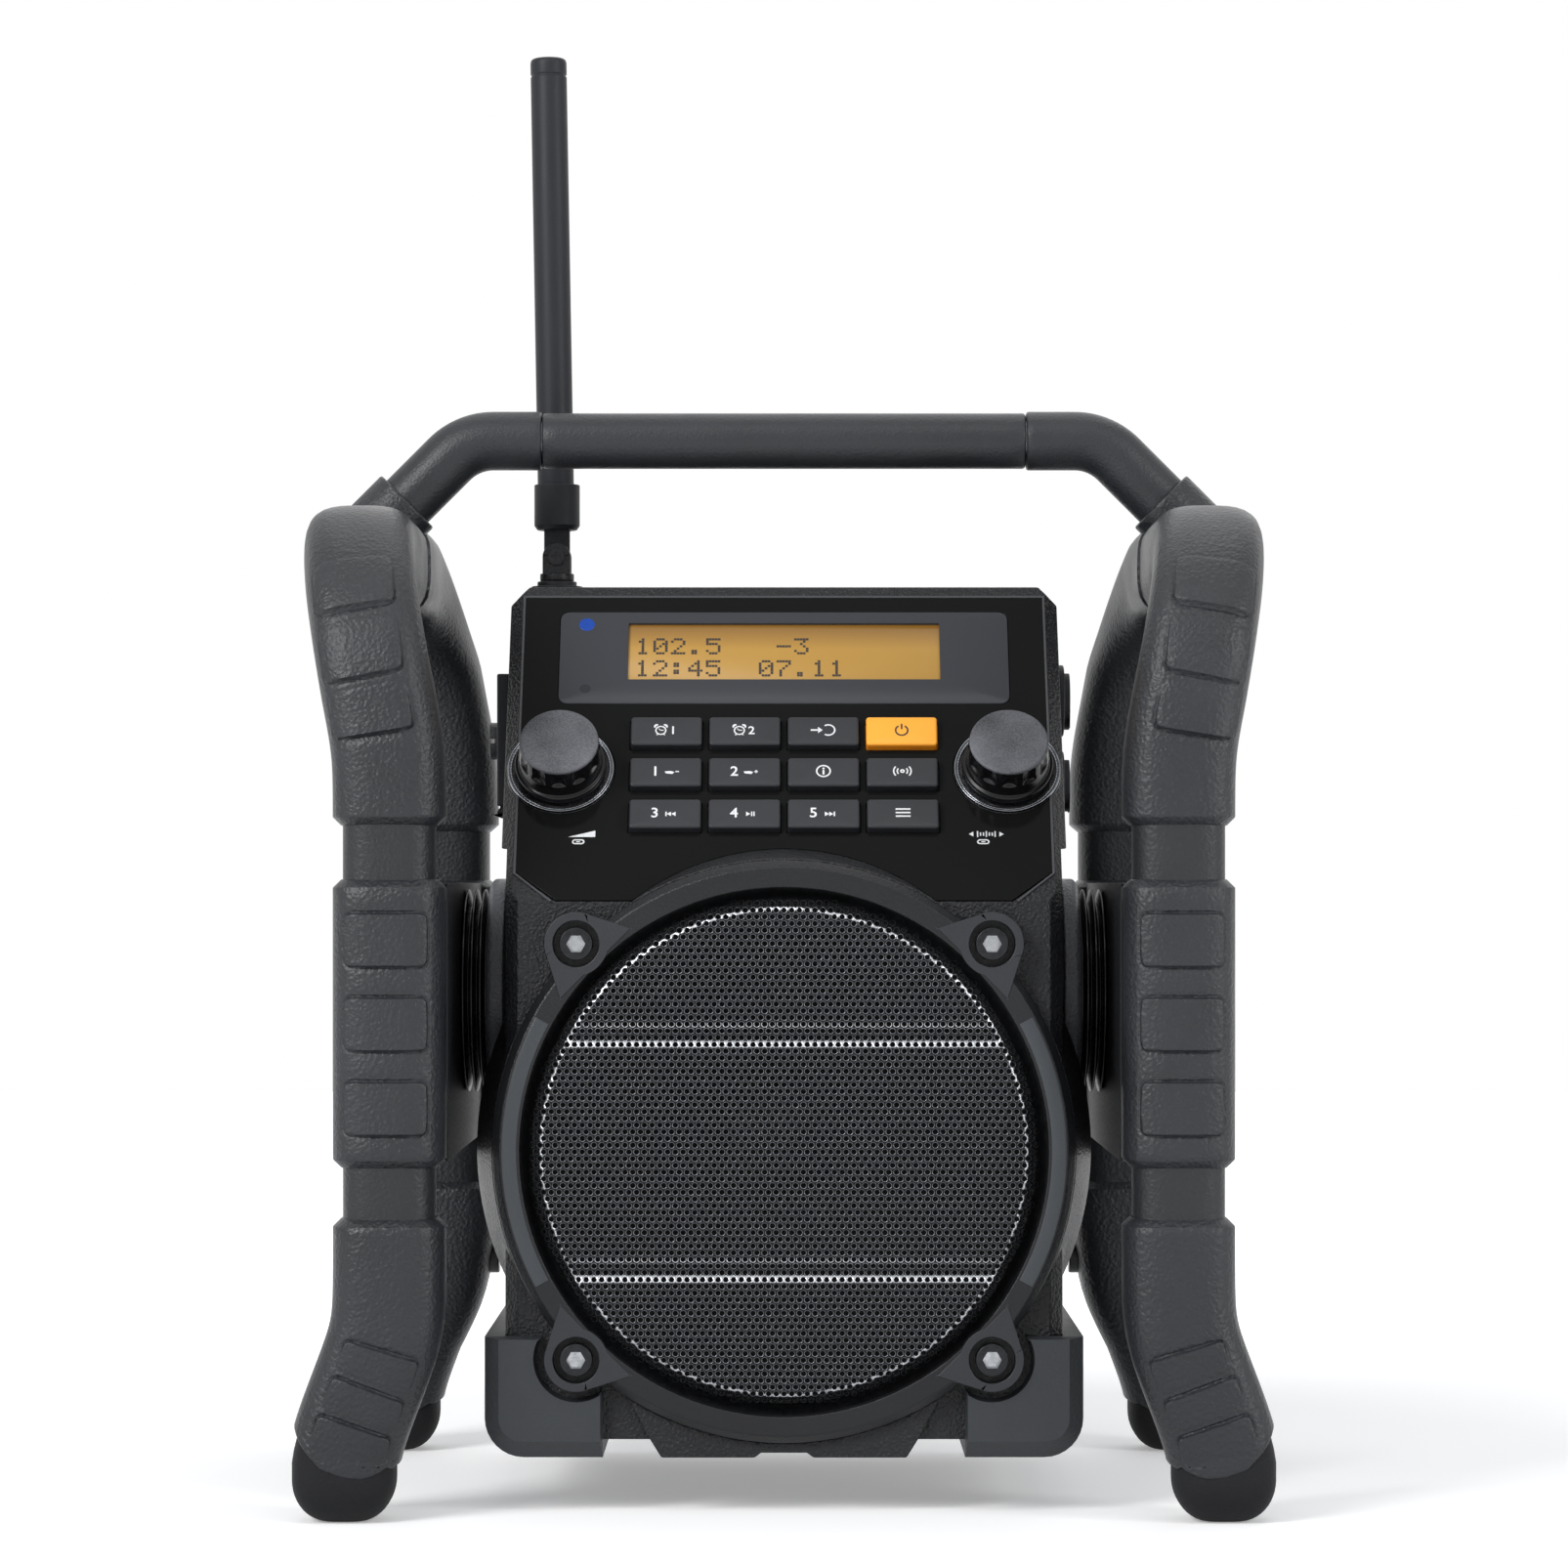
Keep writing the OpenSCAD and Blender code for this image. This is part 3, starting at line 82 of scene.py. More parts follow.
def boxFaces(count):
    # the sides and top of count small boxes, whose eight corners each follow one another
    one = np.array([[0, 1, 5, 4], [1, 2, 6, 5], [2, 3, 7, 6], [3, 0, 4, 7], [4, 5, 6, 7]])
    return (one[None] + 8 * np.arange(count)[:, None, None]).reshape(-1, 4)


def capped(grid, start=True):
    # a closed grid of rings with a many-sided face over its last ring and, where wanted, its first
    rows, columns = grid.shape[:2]
    faces = gridFaces(rows, columns).tolist()
    if start:
        faces.append(list(range(columns))[::-1])
    faces.append(list(range((rows - 1) * columns, rows * columns)))
    return grid.reshape(-1, 3), faces


def joined(parts):
    # several (points, faces) put in one list of each
    points, faces, first = [], [], 0
    for p, f in parts:
        points.append(np.asarray(p, float).reshape(-1, 3))
        if isinstance(f, np.ndarray):
            faces += (f + first).tolist()
        else:
            faces += [[int(i) + first for i in q] for q in f]
        first += len(points[-1])
    return np.concatenate(points), faces


def mirrored(part, axis=0):
    # the same surface on the other side, with its faces turned so that they still point outwards
    points, faces = part
    points = np.array(points, float).reshape(-1, 3)
    points[:, axis] *= -1
    faces = faces.tolist() if isinstance(faces, np.ndarray) else faces
    return points, [list(q)[::-1] for q in faces]


def bothSides(part):
    # the part and its mirror image across x = 0
    return joined([part, mirrored(part)])


def makePiece(name, part, body, material, replaces=(), sharp=35, which=None, weld=True):
    # points in millimetres become a mesh in metres; doubles merge and all faces point outwards;
    # which gives the number of each face's material, where there are several
    points, faces = part
    mesh = bpy.data.meshes.new(name)
    mesh.from_pydata((np.asarray(points, float).reshape(-1, 3) * mm).tolist(), [],
                     faces.tolist() if isinstance(faces, np.ndarray) else faces)
    if which is not None:
        mesh.polygons.foreach_set("material_index", np.asarray(which, np.int32))
    if weld:
        b = bmesh.new()
        b.from_mesh(mesh)
        bmesh.ops.remove_doubles(b, verts=b.verts, dist=2e-6)
        bmesh.ops.dissolve_degenerate(b, edges=b.edges, dist=1e-6)
        bmesh.ops.recalc_face_normals(b, faces=b.faces)
        b.to_mesh(mesh)
        b.free()
    mesh.polygons.foreach_set("use_smooth", np.ones(len(mesh.polygons), bool))
    mesh.set_sharp_from_angle(angle=math.radians(sharp))
    mesh.update()
    piece = bpy.data.objects.new(name, mesh)
    scene.collection.objects.link(piece)
    for m in (material if isinstance(material, (list, tuple)) else [material]):
        mesh.materials.append(m)
    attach(piece, body)
    if replaces:
        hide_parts(*replaces)
    return piece


def turned(profile, n):
    # a profile of (radius, height) turned round the Z axis: point (r cos a, r sin a, h)
    profile = np.asarray(profile, float)
    a = np.linspace(0, 2 * np.pi, n, endpoint=False)
    r, h = profile[:, :1], profile[:, 1:]
    return np.stack([r * np.cos(a), r * np.sin(a), h + 0 * a], -1)


def roundedProfile(corners, radius, steps=5):
    # a line of (x, y) corners with each inner corner replaced by an arc of the given radius,
    # as the quadratic curve between the two points that lie that far from the corner
    corners = np.asarray(corners, float)
    radius = np.broadcast_to(radius, len(corners))
    out = [corners[:1]]
    for before, here, after, r in zip(corners[:-2], corners[1:-1], corners[2:], radius[1:-1]):
        a, b = before - here, after - here
        la, lb = np.linalg.norm(a), np.linalg.norm(b)
        cut = min(r, 0.48 * la, 0.48 * lb)
        t = np.linspace(0, 1, steps)[:, None]
        first, last = here + a / la * cut, here + b / lb * cut
        out.append((1 - t) ** 2 * first + 2 * t * (1 - t) * here + t ** 2 * last)
    out.append(corners[-1:])
    return np.concatenate(out)


def insetRing(outline, d):
    # a closed outline moved inwards by d, each corner along the middle of its two sides' normals
    before = outline - np.roll(outline, 1, 0)
    after = np.roll(outline, -1, 0) - outline
    n1 = np.stack([-before[:, 1], before[:, 0]], -1) / np.linalg.norm(before, axis=1)[:, None]
    n2 = np.stack([-after[:, 1], after[:, 0]], -1) / np.linalg.norm(after, axis=1)[:, None]
    k = 1 + (n1 * n2).sum(1)[:, None]
    return outline + d * (n1 + n2) / np.maximum(k, 0.3)


def plateRings(outline, low, high, edge, steps):
    # a plate between two heights: rings of the outline, drawn in along a quarter circle of radius edge
    # at the top
    a = np.linspace(0, np.pi / 2, steps + 1)
    levels = [(0, low)] + [(edge * (1 - math.cos(t)), high - edge * (1 - math.sin(t))) for t in a]
    rings = [np.column_stack([insetRing(outline, d), np.full(len(outline), h)]) for d, h in levels]
    return np.stack(rings)


def roundRect(w, h, r, n=6):
    # a rectangle's outline with round corners, anticlockwise
    a = np.linspace(0, np.pi / 2, n)
    parts = []
    for k, (sx, sy) in enumerate(((1, 1), (-1, 1), (-1, -1), (1, -1))):
        q = a + k * np.pi / 2
        parts.append(np.column_stack([sx * (w / 2 - r) + r * np.cos(q), sy * (h / 2 - r) + r * np.sin(q)]))
    return np.concatenate(parts)


def placed(part, matrix, origin):
    # points carried into the part's frame: origin + x X + y Y + z Z, with the rows of matrix as X, Y, Z
    points, faces = part
    points = np.asarray(points, float).reshape(-1, 3)
    return points @ np.asarray(matrix, float) + np.asarray(origin, float), faces


# the tilted control slope's own directions, and its origin
tilt = math.radians(35)
slopeAxes = np.array([[1, 0, 0], [0, math.sin(tilt), math.cos(tilt)], [0, -math.cos(tilt), math.sin(tilt)]])
slopeOrigin = np.array([0, -78, 187.0])
# turned round an axis that points along -Y, out of the front
frontAxes = np.array([[1, 0, 0], [0, 0, 1], [0, -1, 0.0]])


def onSlope(part, x=0, v=0, n=0):
    # the part set x sideways, v up and n off the control slope
    return placed(part, slopeAxes, slopeOrigin + np.array([x, v, n]) @ slopeAxes)


# camera, light and floor

view = {"distance": 1.594, "height": 0.192, "lens": 113.9, "shift": 0.064}
cameraData = bpy.data.cameras.new("camera")
cameraData.lens = view["lens"]
cameraData.sensor_width = 36
cameraData.shift_y = view["shift"]
camera = bpy.data.objects.new("camera", cameraData)
camera.location = (0, -view["distance"], view["height"])
camera.rotation_euler = (math.pi / 2, 0, 0)
scene.collection.objects.link(camera)
scene.camera = camera


def addLamp(name, power, size, place, aim):
    # a flat lamp of the given sides, turned so that it faces the point aim
    data = bpy.data.lights.new(name, "AREA")
    data.shape = "RECTANGLE"
    data.size, data.size_y = size
    data.energy = power
    lamp = bpy.data.objects.new(name, data)
    lamp.location = place
    direction = np.array(aim, float) - np.array(place, float)
    flat = math.hypot(direction[0], direction[1])
    heading = math.atan2(direction[1], direction[0]) - math.pi / 2
    lamp.rotation_euler = (math.atan2(flat, -direction[2]), 0, heading)
    scene.collection.objects.link(lamp)


# each lamp's power in watts, sides, place and aim in metres
lamps = {"keyLamp": (28, (0.7, 0.9), (-1.15, -1.35, 1.15), (0, 0, 0.2)),
         "fillLamp": (12, (0.5, 1.2), (1.45, -1.0, 0.8), (0, 0, 0.2)),
         "topLamp": (4, (1.3, 0.8), (0.1, 0.5, 1.75), (0, 0, 0.2)),
         "stripLamp": (5, (1.5, 0.22), (0, -1.06, 1.75), (0, -0.08, 0.11)),
         "rimLamp": (3, (1.4, 0.9), (0.2, 1.5, 1.1), (0, 0, 0.25))}
for name, values in lamps.items():
    addLamp(name, *values)

sky = {"colour": (0.8, 0.84, 0.9, 1), "strength": 0.34, "seen": (1, 1, 1, 1)}
world = bpy.data.worlds.new("studio")
world.use_nodes = True
scene.world = world
scene.view_settings.view_transform = "Standard"
skyTree = world.node_tree
skyTree.nodes.clear()


def link(tree, first, second):
    # a wire from one node's output to another's input
    tree.links.new(first, second)


def worked(tree, operation, *values, kind="ShaderNodeMath", output=0):
    # a node that does one operation on sockets or plain values, given in the order of its inputs
    n = tree.nodes.new(kind)
    n.operation = operation
    for k, value in enumerate(values):
        if isinstance(value, bpy.types.NodeSocket):
            link(tree, value, n.inputs[k])
        else:
            n.inputs[k].default_value = value
    return n.outputs[output]


def seenWhite(tree):
    # 1 where the camera, a mirror ray or a transmission ray looks
    path = tree.nodes.new("ShaderNodeLightPath").outputs
    straight = worked(tree, "MAXIMUM", path["Is Camera Ray"], path["Is Transmission Ray"])
    return worked(tree, "MAXIMUM", straight, path["Is Glossy Ray"])


def backdrop(colour, strength):
    # one plain colour all round
    n = skyTree.nodes.new("ShaderNodeBackground")
    n.inputs["Color"].default_value = colour
    n.inputs["Strength"].default_value = strength
    return n.outputs[0]


mixSky = skyTree.nodes.new("ShaderNodeMixShader")
skyOut = skyTree.nodes.new("ShaderNodeOutputWorld")
link(skyTree, seenWhite(skyTree), mixSky.inputs[0])
link(skyTree, backdrop(sky["colour"], sky["strength"]), mixSky.inputs[1])
link(skyTree, backdrop(sky["seen"], 1), mixSky.inputs[2])
link(skyTree, mixSky.outputs[0], skyOut.inputs[0])

# glow: how brightly the floor is seen within 0.3 m of the middle and from 1.1 m away, "from" and "to"
ground = {"half": 3.0, "glow": (0.3, 1.0), "from": 0.3, "to": 1.1}
side = ground["half"]
floorCorners = [(-side, -side, 0), (side, -side, 0), (side, side, 0), (-side, side, 0)]
floorMesh = bpy.data.meshes.new("floor")
floorMesh.from_pydata(floorCorners, [], [(0, 1, 2, 3)])
floor = bpy.data.objects.new("floor", floorMesh)
scene.collection.objects.link(floor)


# materials: every pattern reads Object coordinates, in metres

def colour(hexText):
    # a written sRGB colour as linear red, green and blue
    c = np.array([int(hexText[i:i + 2], 16) for i in (1, 3, 5)]) / 255
    return (*np.where(c <= 0.04045, c / 12.92, ((c + 0.055) / 1.055) ** 2.4), 1.0)


def newMaterial(name, base, roughness, metallic=0.0, specular=0.5):
    # a material with its tree, its shader and the place on the piece that patterns read
    m = bpy.data.materials.new(name)
    m.use_nodes = True
    tree = m.node_tree
    shader = tree.nodes["Principled BSDF"]
    shader.inputs["Base Color"].default_value = colour(base)
    shader.inputs["Roughness"].default_value = roughness
    shader.inputs["Metallic"].default_value = metallic
    shader.inputs["Specular IOR Level"].default_value = specular
    m.diffuse_color = colour(base)
    coords = tree.nodes.new("ShaderNodeTexCoord")
    return m, tree, shader, coords.outputs["Object"]


def noiseAt(tree, place, scale, detail=3.0, rough=0.55):
    # cloudy noise, scale cells to the metre
    n = tree.nodes.new("ShaderNodeTexNoise")
    n.inputs["Scale"].default_value = scale
    n.inputs["Detail"].default_value = detail
    n.inputs["Roughness"].default_value = rough
    link(tree, place, n.inputs["Vector"])
    return n.outputs["Fac"]


def spread(tree, value, low, high, start=0.0, end=1.0):
    # start to end stretched over low to high
    n = tree.nodes.new("ShaderNodeMapRange")
    for key, v in (("From Min", start), ("From Max", end), ("To Min", low), ("To Max", high)):
        n.inputs[key].default_value = v
    link(tree, value, n.inputs["Value"])
    return n.outputs["Result"]


def blended(tree, factor, first, second):
    # the first colour at 0 and the second at 1
    n = tree.nodes.new("ShaderNodeMix")
    n.data_type = "RGBA"
    n.inputs["A"].default_value = colour(first)
    n.inputs["B"].default_value = colour(second)
    link(tree, factor, n.inputs["Factor"])
    return n.outputs["Result"]


def bumped(tree, shader, height, depth, strength=1.0):
    # height from 0 to 1 raises the surface by depth millimetres
    n = tree.nodes.new("ShaderNodeBump")
    n.inputs["Distance"].default_value = depth * mm
    n.inputs["Strength"].default_value = strength
    link(tree, height, n.inputs["Height"])
    link(tree, n.outputs["Normal"], shader.inputs["Normal"])


def grained(name, base, pale, roughness, cell=1.1, depth=0.07, tint=0.5, gloss=0.1, strength=0.8,
            specular=0.2):
    # moulded plastic or rubber: leather-like cells with finer specks between them, and slow changes of
    # tint and of gloss; cell and depth are in millimetres
    m, tree, shader, place = newMaterial(name, base, roughness, 0.0, specular)
    cells = tree.nodes.new("ShaderNodeTexVoronoi")
    cells.feature = "SMOOTH_F1"
    cells.inputs["Scale"].default_value = 1 / (cell * mm)
    cells.inputs["Smoothness"].default_value = 0.7
    warp = noiseAt(tree, place, 0.45 / (cell * mm), 2)
    shift = worked(tree, "MULTIPLY_ADD", warp, (1.4 * cell * mm,) * 3, place, kind="ShaderNodeVectorMath")
    link(tree, shift, cells.inputs["Vector"])
    specks = noiseAt(tree, place, 3.2 / (cell * mm), 2)
    height = worked(tree, "MULTIPLY_ADD", specks, 0.35, cells.outputs["Distance"])
    bumped(tree, shader, height, depth, strength)
    slow = noiseAt(tree, place, 28, 3)
    fleck = noiseAt(tree, place, 1.3 / (cell * mm), 3)
    both = worked(tree, "MULTIPLY_ADD", fleck, 0.5, spread(tree, slow, 0, 0.5, 0.3, 0.7))
    link(tree, blended(tree, spread(tree, both, 0, tint, 0.2, 0.8), base, pale), shader.inputs["Base Color"])
    link(tree, spread(tree, slow, roughness - gloss, roughness + gloss, 0.3, 0.7), shader.inputs["Roughness"])
    return m


def glossy(name, base, roughness, coat=0.0, dust=0.04, specular=0.3):
    # polished plastic: an almost flat colour, with faint fine scratches and dust in its gloss
    m, tree, shader, place = newMaterial(name, base, roughness, 0.0, specular)
    fine = noiseAt(tree, place, 900, 4, 0.7)
    link(tree, spread(tree, fine, roughness, roughness + dust, 0.35, 0.75), shader.inputs["Roughness"])
    bumped(tree, shader, noiseAt(tree, place, 60, 1), 0.02, 0.15)
    shader.inputs["Coat Weight"].default_value = coat
    shader.inputs["Coat Roughness"].default_value = 0.04
    return m


def metal(name, base, dark, roughness, metallic=1.0, scale=700, depth=0.01, stretch=(1, 1, 1), specular=0.5):
    # bare or painted metal with a fine grain, drawn out along one direction where it is brushed
    m, tree, shader, place = newMaterial(name, base, roughness, metallic, specular)
    turn = tree.nodes.new("ShaderNodeMapping")
    turn.inputs["Scale"].default_value = stretch
    link(tree, place, turn.inputs["Vector"])
    fine = noiseAt(tree, turn.outputs[0], scale, 4, 0.6)
    link(tree, blended(tree, spread(tree, fine, 0, 1, 0.3, 0.7), base, dark), shader.inputs["Base Color"])
    link(tree, spread(tree, fine, roughness * 0.8, roughness * 1.25, 0.3, 0.7), shader.inputs["Roughness"])
    bumped(tree, shader, fine, depth, 0.6)
    return m


cageGrain = grained("cageGrain", "#1f2123", "#2b2d30", 0.42, 1.15, 0.18, 0.45, 0.06, 1.0, 0.34)
sleeveGrain = grained("sleeveGrain", "#1f2124", "#2c2e32", 0.4, 1.25, 0.26, 0.5, 0.07, 1.0, 0.38)
cabinetGrain = grained("cabinetGrain", "#141517", "#232427", 0.4, 1.0, 0.36, 0.6, 0.06, 1.0, 0.28)
guardGrain = grained("guardGrain", "#2b2e31", "#383b3f", 0.45, 1.0, 0.1, 0.45, 0.05, 1.0, 0.36)
drumFinish = grained("drumFinish", "#26282b", "#343639", 0.4, 0.8, 0.16, 0.5, 0.06, 1.0, 0.4)
bezelFinish = grained("bezelFinish", "#161719", "#212225", 0.36, 0.7, 0.1, 0.4, 0.06, 1.0, 0.28)
earSatin = grained("earSatin", "#27292c", "#33353a", 0.4, 0.7, 0.06, 0.4, 0.06, 1.0, 0.3)
inlaySatin = grained("inlaySatin", "#2e3236", "#3c4045", 0.34, 0.6, 0.05, 0.4, 0.05, 1.0, 0.45)
footRubber = grained("footRubber", "#151517", "#262729", 0.72, 0.9, 0.12, 0.6, 0.06)
bellowsRubber = grained("bellowsRubber", "#0d0d0f", "#1b1b1d", 0.3, 0.5, 0.012, 0.4, 0.06, 0.8, 0.35)
# the flanges' pale grey is painted light: it stands in for the light that falls on them
flangeRubberPaintedLight = grained("flangeRubberPaintedLight", "#5c5e62", "#707276", 0.36, 0.9, 0.25, 0.5, 0.06, 1.0, 0.5)
capRubber = grained("capRubber", "#1d1e21", "#2a2b2e", 0.5, 0.6, 0.03, 0.5, 0.06)
whipRubber = grained("whipRubber", "#232428", "#303135", 0.46, 0.7, 0.025, 0.4, 0.06)
keyPlastic = grained("keyPlastic", "#232427", "#303135", 0.4, 0.5, 0.02, 0.5, 0.06, 0.8, 0.3)
knobSkirt = glossy("knobSkirt", "#0f0f11", 0.22, 0.0, 0.04, 0.25)
knobCap = grained("knobCap", "#222327", "#7c7d82", 0.5, 0.75, 0.12, 1.0, 0.06)
gripGrain = grained("gripGrain", "#222427", "#303236", 0.42, 0.8, 0.1, 0.4, 0.06, 1.0, 0.34)
panelGloss = glossy("panelGloss", "#141514", 0.08, 0.0, 0.05, 0.06)
# a pale satin that paints the highlight along the panel recess's edge
trimPaintedHighlight = glossy("trimPaintedHighlight", "#3b3c3f", 0.35, 0.0, 0.1, 0.4)
windowGloss = glossy("windowGloss", "#3d3e42", 0.2, 0.0, 0.06, 0.12)
blackScrew = metal("blackScrew", "#1c1d1f", "#2a2b2e", 0.3, 0.7, 500, 0.01)
# pale metal painted on the bezel screws' hex sockets as a glint
hexGlint = metal("hexGlint", "#a9abae", "#8a8c8f", 0.25, 1.0, 500, 0.01)
steelScrew = metal("steelScrew", "#8d9093", "#5f6265", 0.35)
turnedSteel = metal("turnedSteel", "#a9abae", "#7c7f83", 0.3, 1.0, 500, 0.008, (1, 1, 12))
chrome = metal("chromeRing", "#8f9296", "#6f7276", 0.14, 1.0, 400, 0.002)
grillePaint = metal("grillePaint", "#0b0c0d", "#151618", 0.42, 0.0, 600, 0.006, specular=0.14)
# the pale lip colour and the pale glint colour are painted highlights on the black-painted sheet
grilleLipHighlight = metal("grilleLipHighlight", "#75777b", "#54565a", 0.3, 0.8, 600, 0.006, specular=0.2)
grilleGlint = metal("grilleGlint", "#c2c4c8", "#8d8f93", 0.28, 0.9, 600, 0.006)
platePaint = metal("platePaint", "#131416", "#1b1c1e", 0.5, 0.0, 900, 0.02, specular=0.2)
greyPaint = metal("greyPaint", "#56595d", "#484b4f", 0.45, 0.3)
ironDark = metal("ironDark", "#3d3f42", "#2b2d30", 0.55, 0.6)
aluminium = metal("aluminiumCase", "#8c8f93", "#6d7074", 0.4)
cellWrap = metal("cellWrap", "#b08a3c", "#8f6f2e", 0.3, 0.5, 300, 0.004)
boardGreen = glossy("boardGreen", "#1f4f2a", 0.35)
matSilicone = grained("matSilicone", "#55575b", "#66686c", 0.6, 0.8, 0.02)
coneFelt = grained("coneFelt", "#141416", "#232325", 0.8, 0.5, 0.08, 0.6, 0.05)
socketPlastic = glossy("socketPlastic", "#2b2c2f", 0.4)
legendPaint, legendTree, legendShader, legendPlace = newMaterial("legendPaint", "#dedfe0", 0.5)
link(legendTree, blended(legendTree, noiseAt(legendTree, legendPlace, 1500, 2), "#d6d7d8", "#e6e7e8"),
     legendShader.inputs["Base Color"])
legendInk, inkTree, inkShader, inkPlace = newMaterial("legendInk", "#1d140a", 0.5)
link(inkTree, blended(inkTree, noiseAt(inkTree, inkPlace, 1500, 2), "#170f08", "#2a1d0e"),
     inkShader.inputs["Base Color"])
blueDot = glossy("blueDot", "#0a3f9a", 0.25)
sensorDark = glossy("sensorDark", "#25262a", 0.12)


def alongNormal(tree, place):
    # height in metres above the control slope's plane
    move = worked(tree, "SUBTRACT", place, tuple(slopeOrigin * mm), kind="ShaderNodeVectorMath")
    return worked(tree, "DOT_PRODUCT", move, tuple(slopeAxes[2]), kind="ShaderNodeVectorMath", output="Value")


# the power key: amber on its face, deeper orange down its sides
powerAmber, powerTree, powerShader, powerPlace = newMaterial("powerAmber", "#ffae2e", 0.38)
onFace = spread(powerTree, alongNormal(powerTree, powerPlace), 0, 1, 1.9 * mm, 3.1 * mm)
link(powerTree, blended(powerTree, onFace, "#e8881a", "#fcaa2e"), powerShader.inputs["Base Color"])
bumped(powerTree, powerShader, noiseAt(powerTree, powerPlace, 2500, 2), 0.015, 0.4)

# the lit display: plain amber, with a painted shadow of the frame that darkens its upper part
displayAmber, lcdTree, lcdShader, lcdPlace = newMaterial("displayAmber", "#d9a44c", 0.25)
# top is the colour of that painted shadow, and darkens is where on the ramp it begins
glow = {"low": "#a67e34", "top": "#74501e", "darkens": 0.55, "from": 0.2565, "to": 0.2749, "emission": 0.15}
height = lcdTree.nodes.new("ShaderNodeSeparateXYZ")
link(lcdTree, lcdPlace, height.inputs[0])
ramp = lcdTree.nodes.new("ShaderNodeValToRGB")
ramp.color_ramp.elements[0].position = glow["darkens"]
ramp.color_ramp.elements[0].color = colour(glow["low"])
ramp.color_ramp.elements[1].color = colour(glow["top"])
link(lcdTree, spread(lcdTree, height.outputs["Z"], 0, 1, glow["from"], glow["to"]), ramp.inputs[0])
link(lcdTree, ramp.outputs[0], lcdShader.inputs["Base Color"])
link(lcdTree, ramp.outputs[0], lcdShader.inputs["Emission Color"])
lcdShader.inputs["Emission Strength"].default_value = glow["emission"]

floorPaint, floorTree, floorShader, floorPlace = newMaterial("floorPaint", "#f2f2f2", 0.7)
floorShader.inputs["Specular IOR Level"].default_value = 0.2
# looked at, the floor glows white, more so away from the object, where it meets the white sky
floorGlow = floorTree.nodes.new("ShaderNodeEmission")
floorGlow.inputs["Color"].default_value = (1, 1, 1, 1)
away = worked(floorTree, "LENGTH", floorPlace, kind="ShaderNodeVectorMath", output="Value")
lift = spread(floorTree, away, *ground["glow"], ground["from"], ground["to"])
link(floorTree, worked(floorTree, "MULTIPLY", seenWhite(floorTree), lift), floorGlow.inputs["Strength"])
add = floorTree.nodes.new("ShaderNodeAddShader")
link(floorTree, floorShader.outputs[0], add.inputs[0])
link(floorTree, floorGlow.outputs[0], add.inputs[1])
link(floorTree, add.outputs[0], floorTree.nodes["Material Output"].inputs["Surface"])
floorMesh.materials.append(floorPaint)
print("materials", len(bpy.data.materials))


# cage: leg sleeves, moulded loops and feet

cage = {"legX": 119.1, "legY": 95.0, "archZ": 294.0, "bend": 44.0, "half": (16.9, 15.7), "core": (13.9, 13.4),
        "power": 3.4, "rearExtra": 5.0, "padHeight": 0.88, "padGroove": 0.36, "edge": 0.3}


def ease(d):
    # 0 far below d = 0 and d far above it, with a soft bend between: 4 ln(1 + e^(d/4))
    return 4 * np.logaddexp(0, d / 4)


def legX(z):
    # sideways place of a leg's centre: upright, leaning out above 232 and below 58, plumb again at the foot
    z = np.maximum(z, 18.2)
    return cage["legX"] + 0.195 * ease(z - 232) + 0.385 * (ease(58 - z) - ease(21 - z))


def loopCentre(p):
    # centre line of the front half of a side loop: up the leg to z 250, round a quarter circle
    # of radius bend, and back along the top; p is the height, then the length along that line
    r, y0, z0 = cage["bend"], -cage["legY"], cage["archZ"] - cage["bend"]
    a = np.clip((p - z0) / r, 0, np.pi / 2)
    y = y0 + r * (1 - np.cos(a)) + np.maximum(0, p - z0 - r * np.pi / 2)
    z = np.minimum(p, z0) + r * np.sin(a)
    return np.stack([legX(z), y, z], -1)


def sectionAt(g, a, b):
    # a point on the section with half sizes a and b, g millimetres round its edge from the middle of
    # the outer face, and the normal there; the section is |x/a|^n + |y/b|^n = 1
    q = np.linspace(-np.pi / 2, 1.5 * np.pi, 1441)
    n = 2 / cage["power"]
    x, y = (np.sign(f) * np.abs(f) ** n for f in (np.cos(q), np.sin(q)))
    x, y = a * x, b * y
    length = np.concatenate([[0], np.cumsum(np.hypot(np.diff(x), np.diff(y)))])
    g = np.mod(g, length[-1])
    px, py = np.interp(g, length, x), np.interp(g, length, y)
    ahead, back = np.mod(g + 0.05, length[-1]), np.mod(g - 0.05, length[-1])
    tx, ty = (np.interp(ahead, length, f) - np.interp(back, length, f) for f in (x, y))
    k = np.hypot(tx, ty)
    return px, py, ty / k, -tx / k


def sectionLength(a, b):
    # the way once round that section
    q = np.linspace(0, 2 * np.pi, 1441)
    n = 2 / cage["power"]
    x, y = (np.sign(f) * np.abs(f) ** n for f in (np.cos(q), np.sin(q)))
    return np.hypot(np.diff(a * x), np.diff(b * y)).sum()


def spaced(low, high, coarse, edges=(), fine=0.3, reach=0.9):
    # positions from low to high, coarse apart, and closer together round each edge
    near = [e + d for e in edges for d in np.arange(-reach, reach + 1e-6, fine)]
    far = [v for v in np.arange(low, high, coarse) if all(abs(v - e) > reach + 0.4 * fine for e in edges)]
    return np.unique(np.round([v for v in near + far + [low, high] if low <= v <= high], 4))


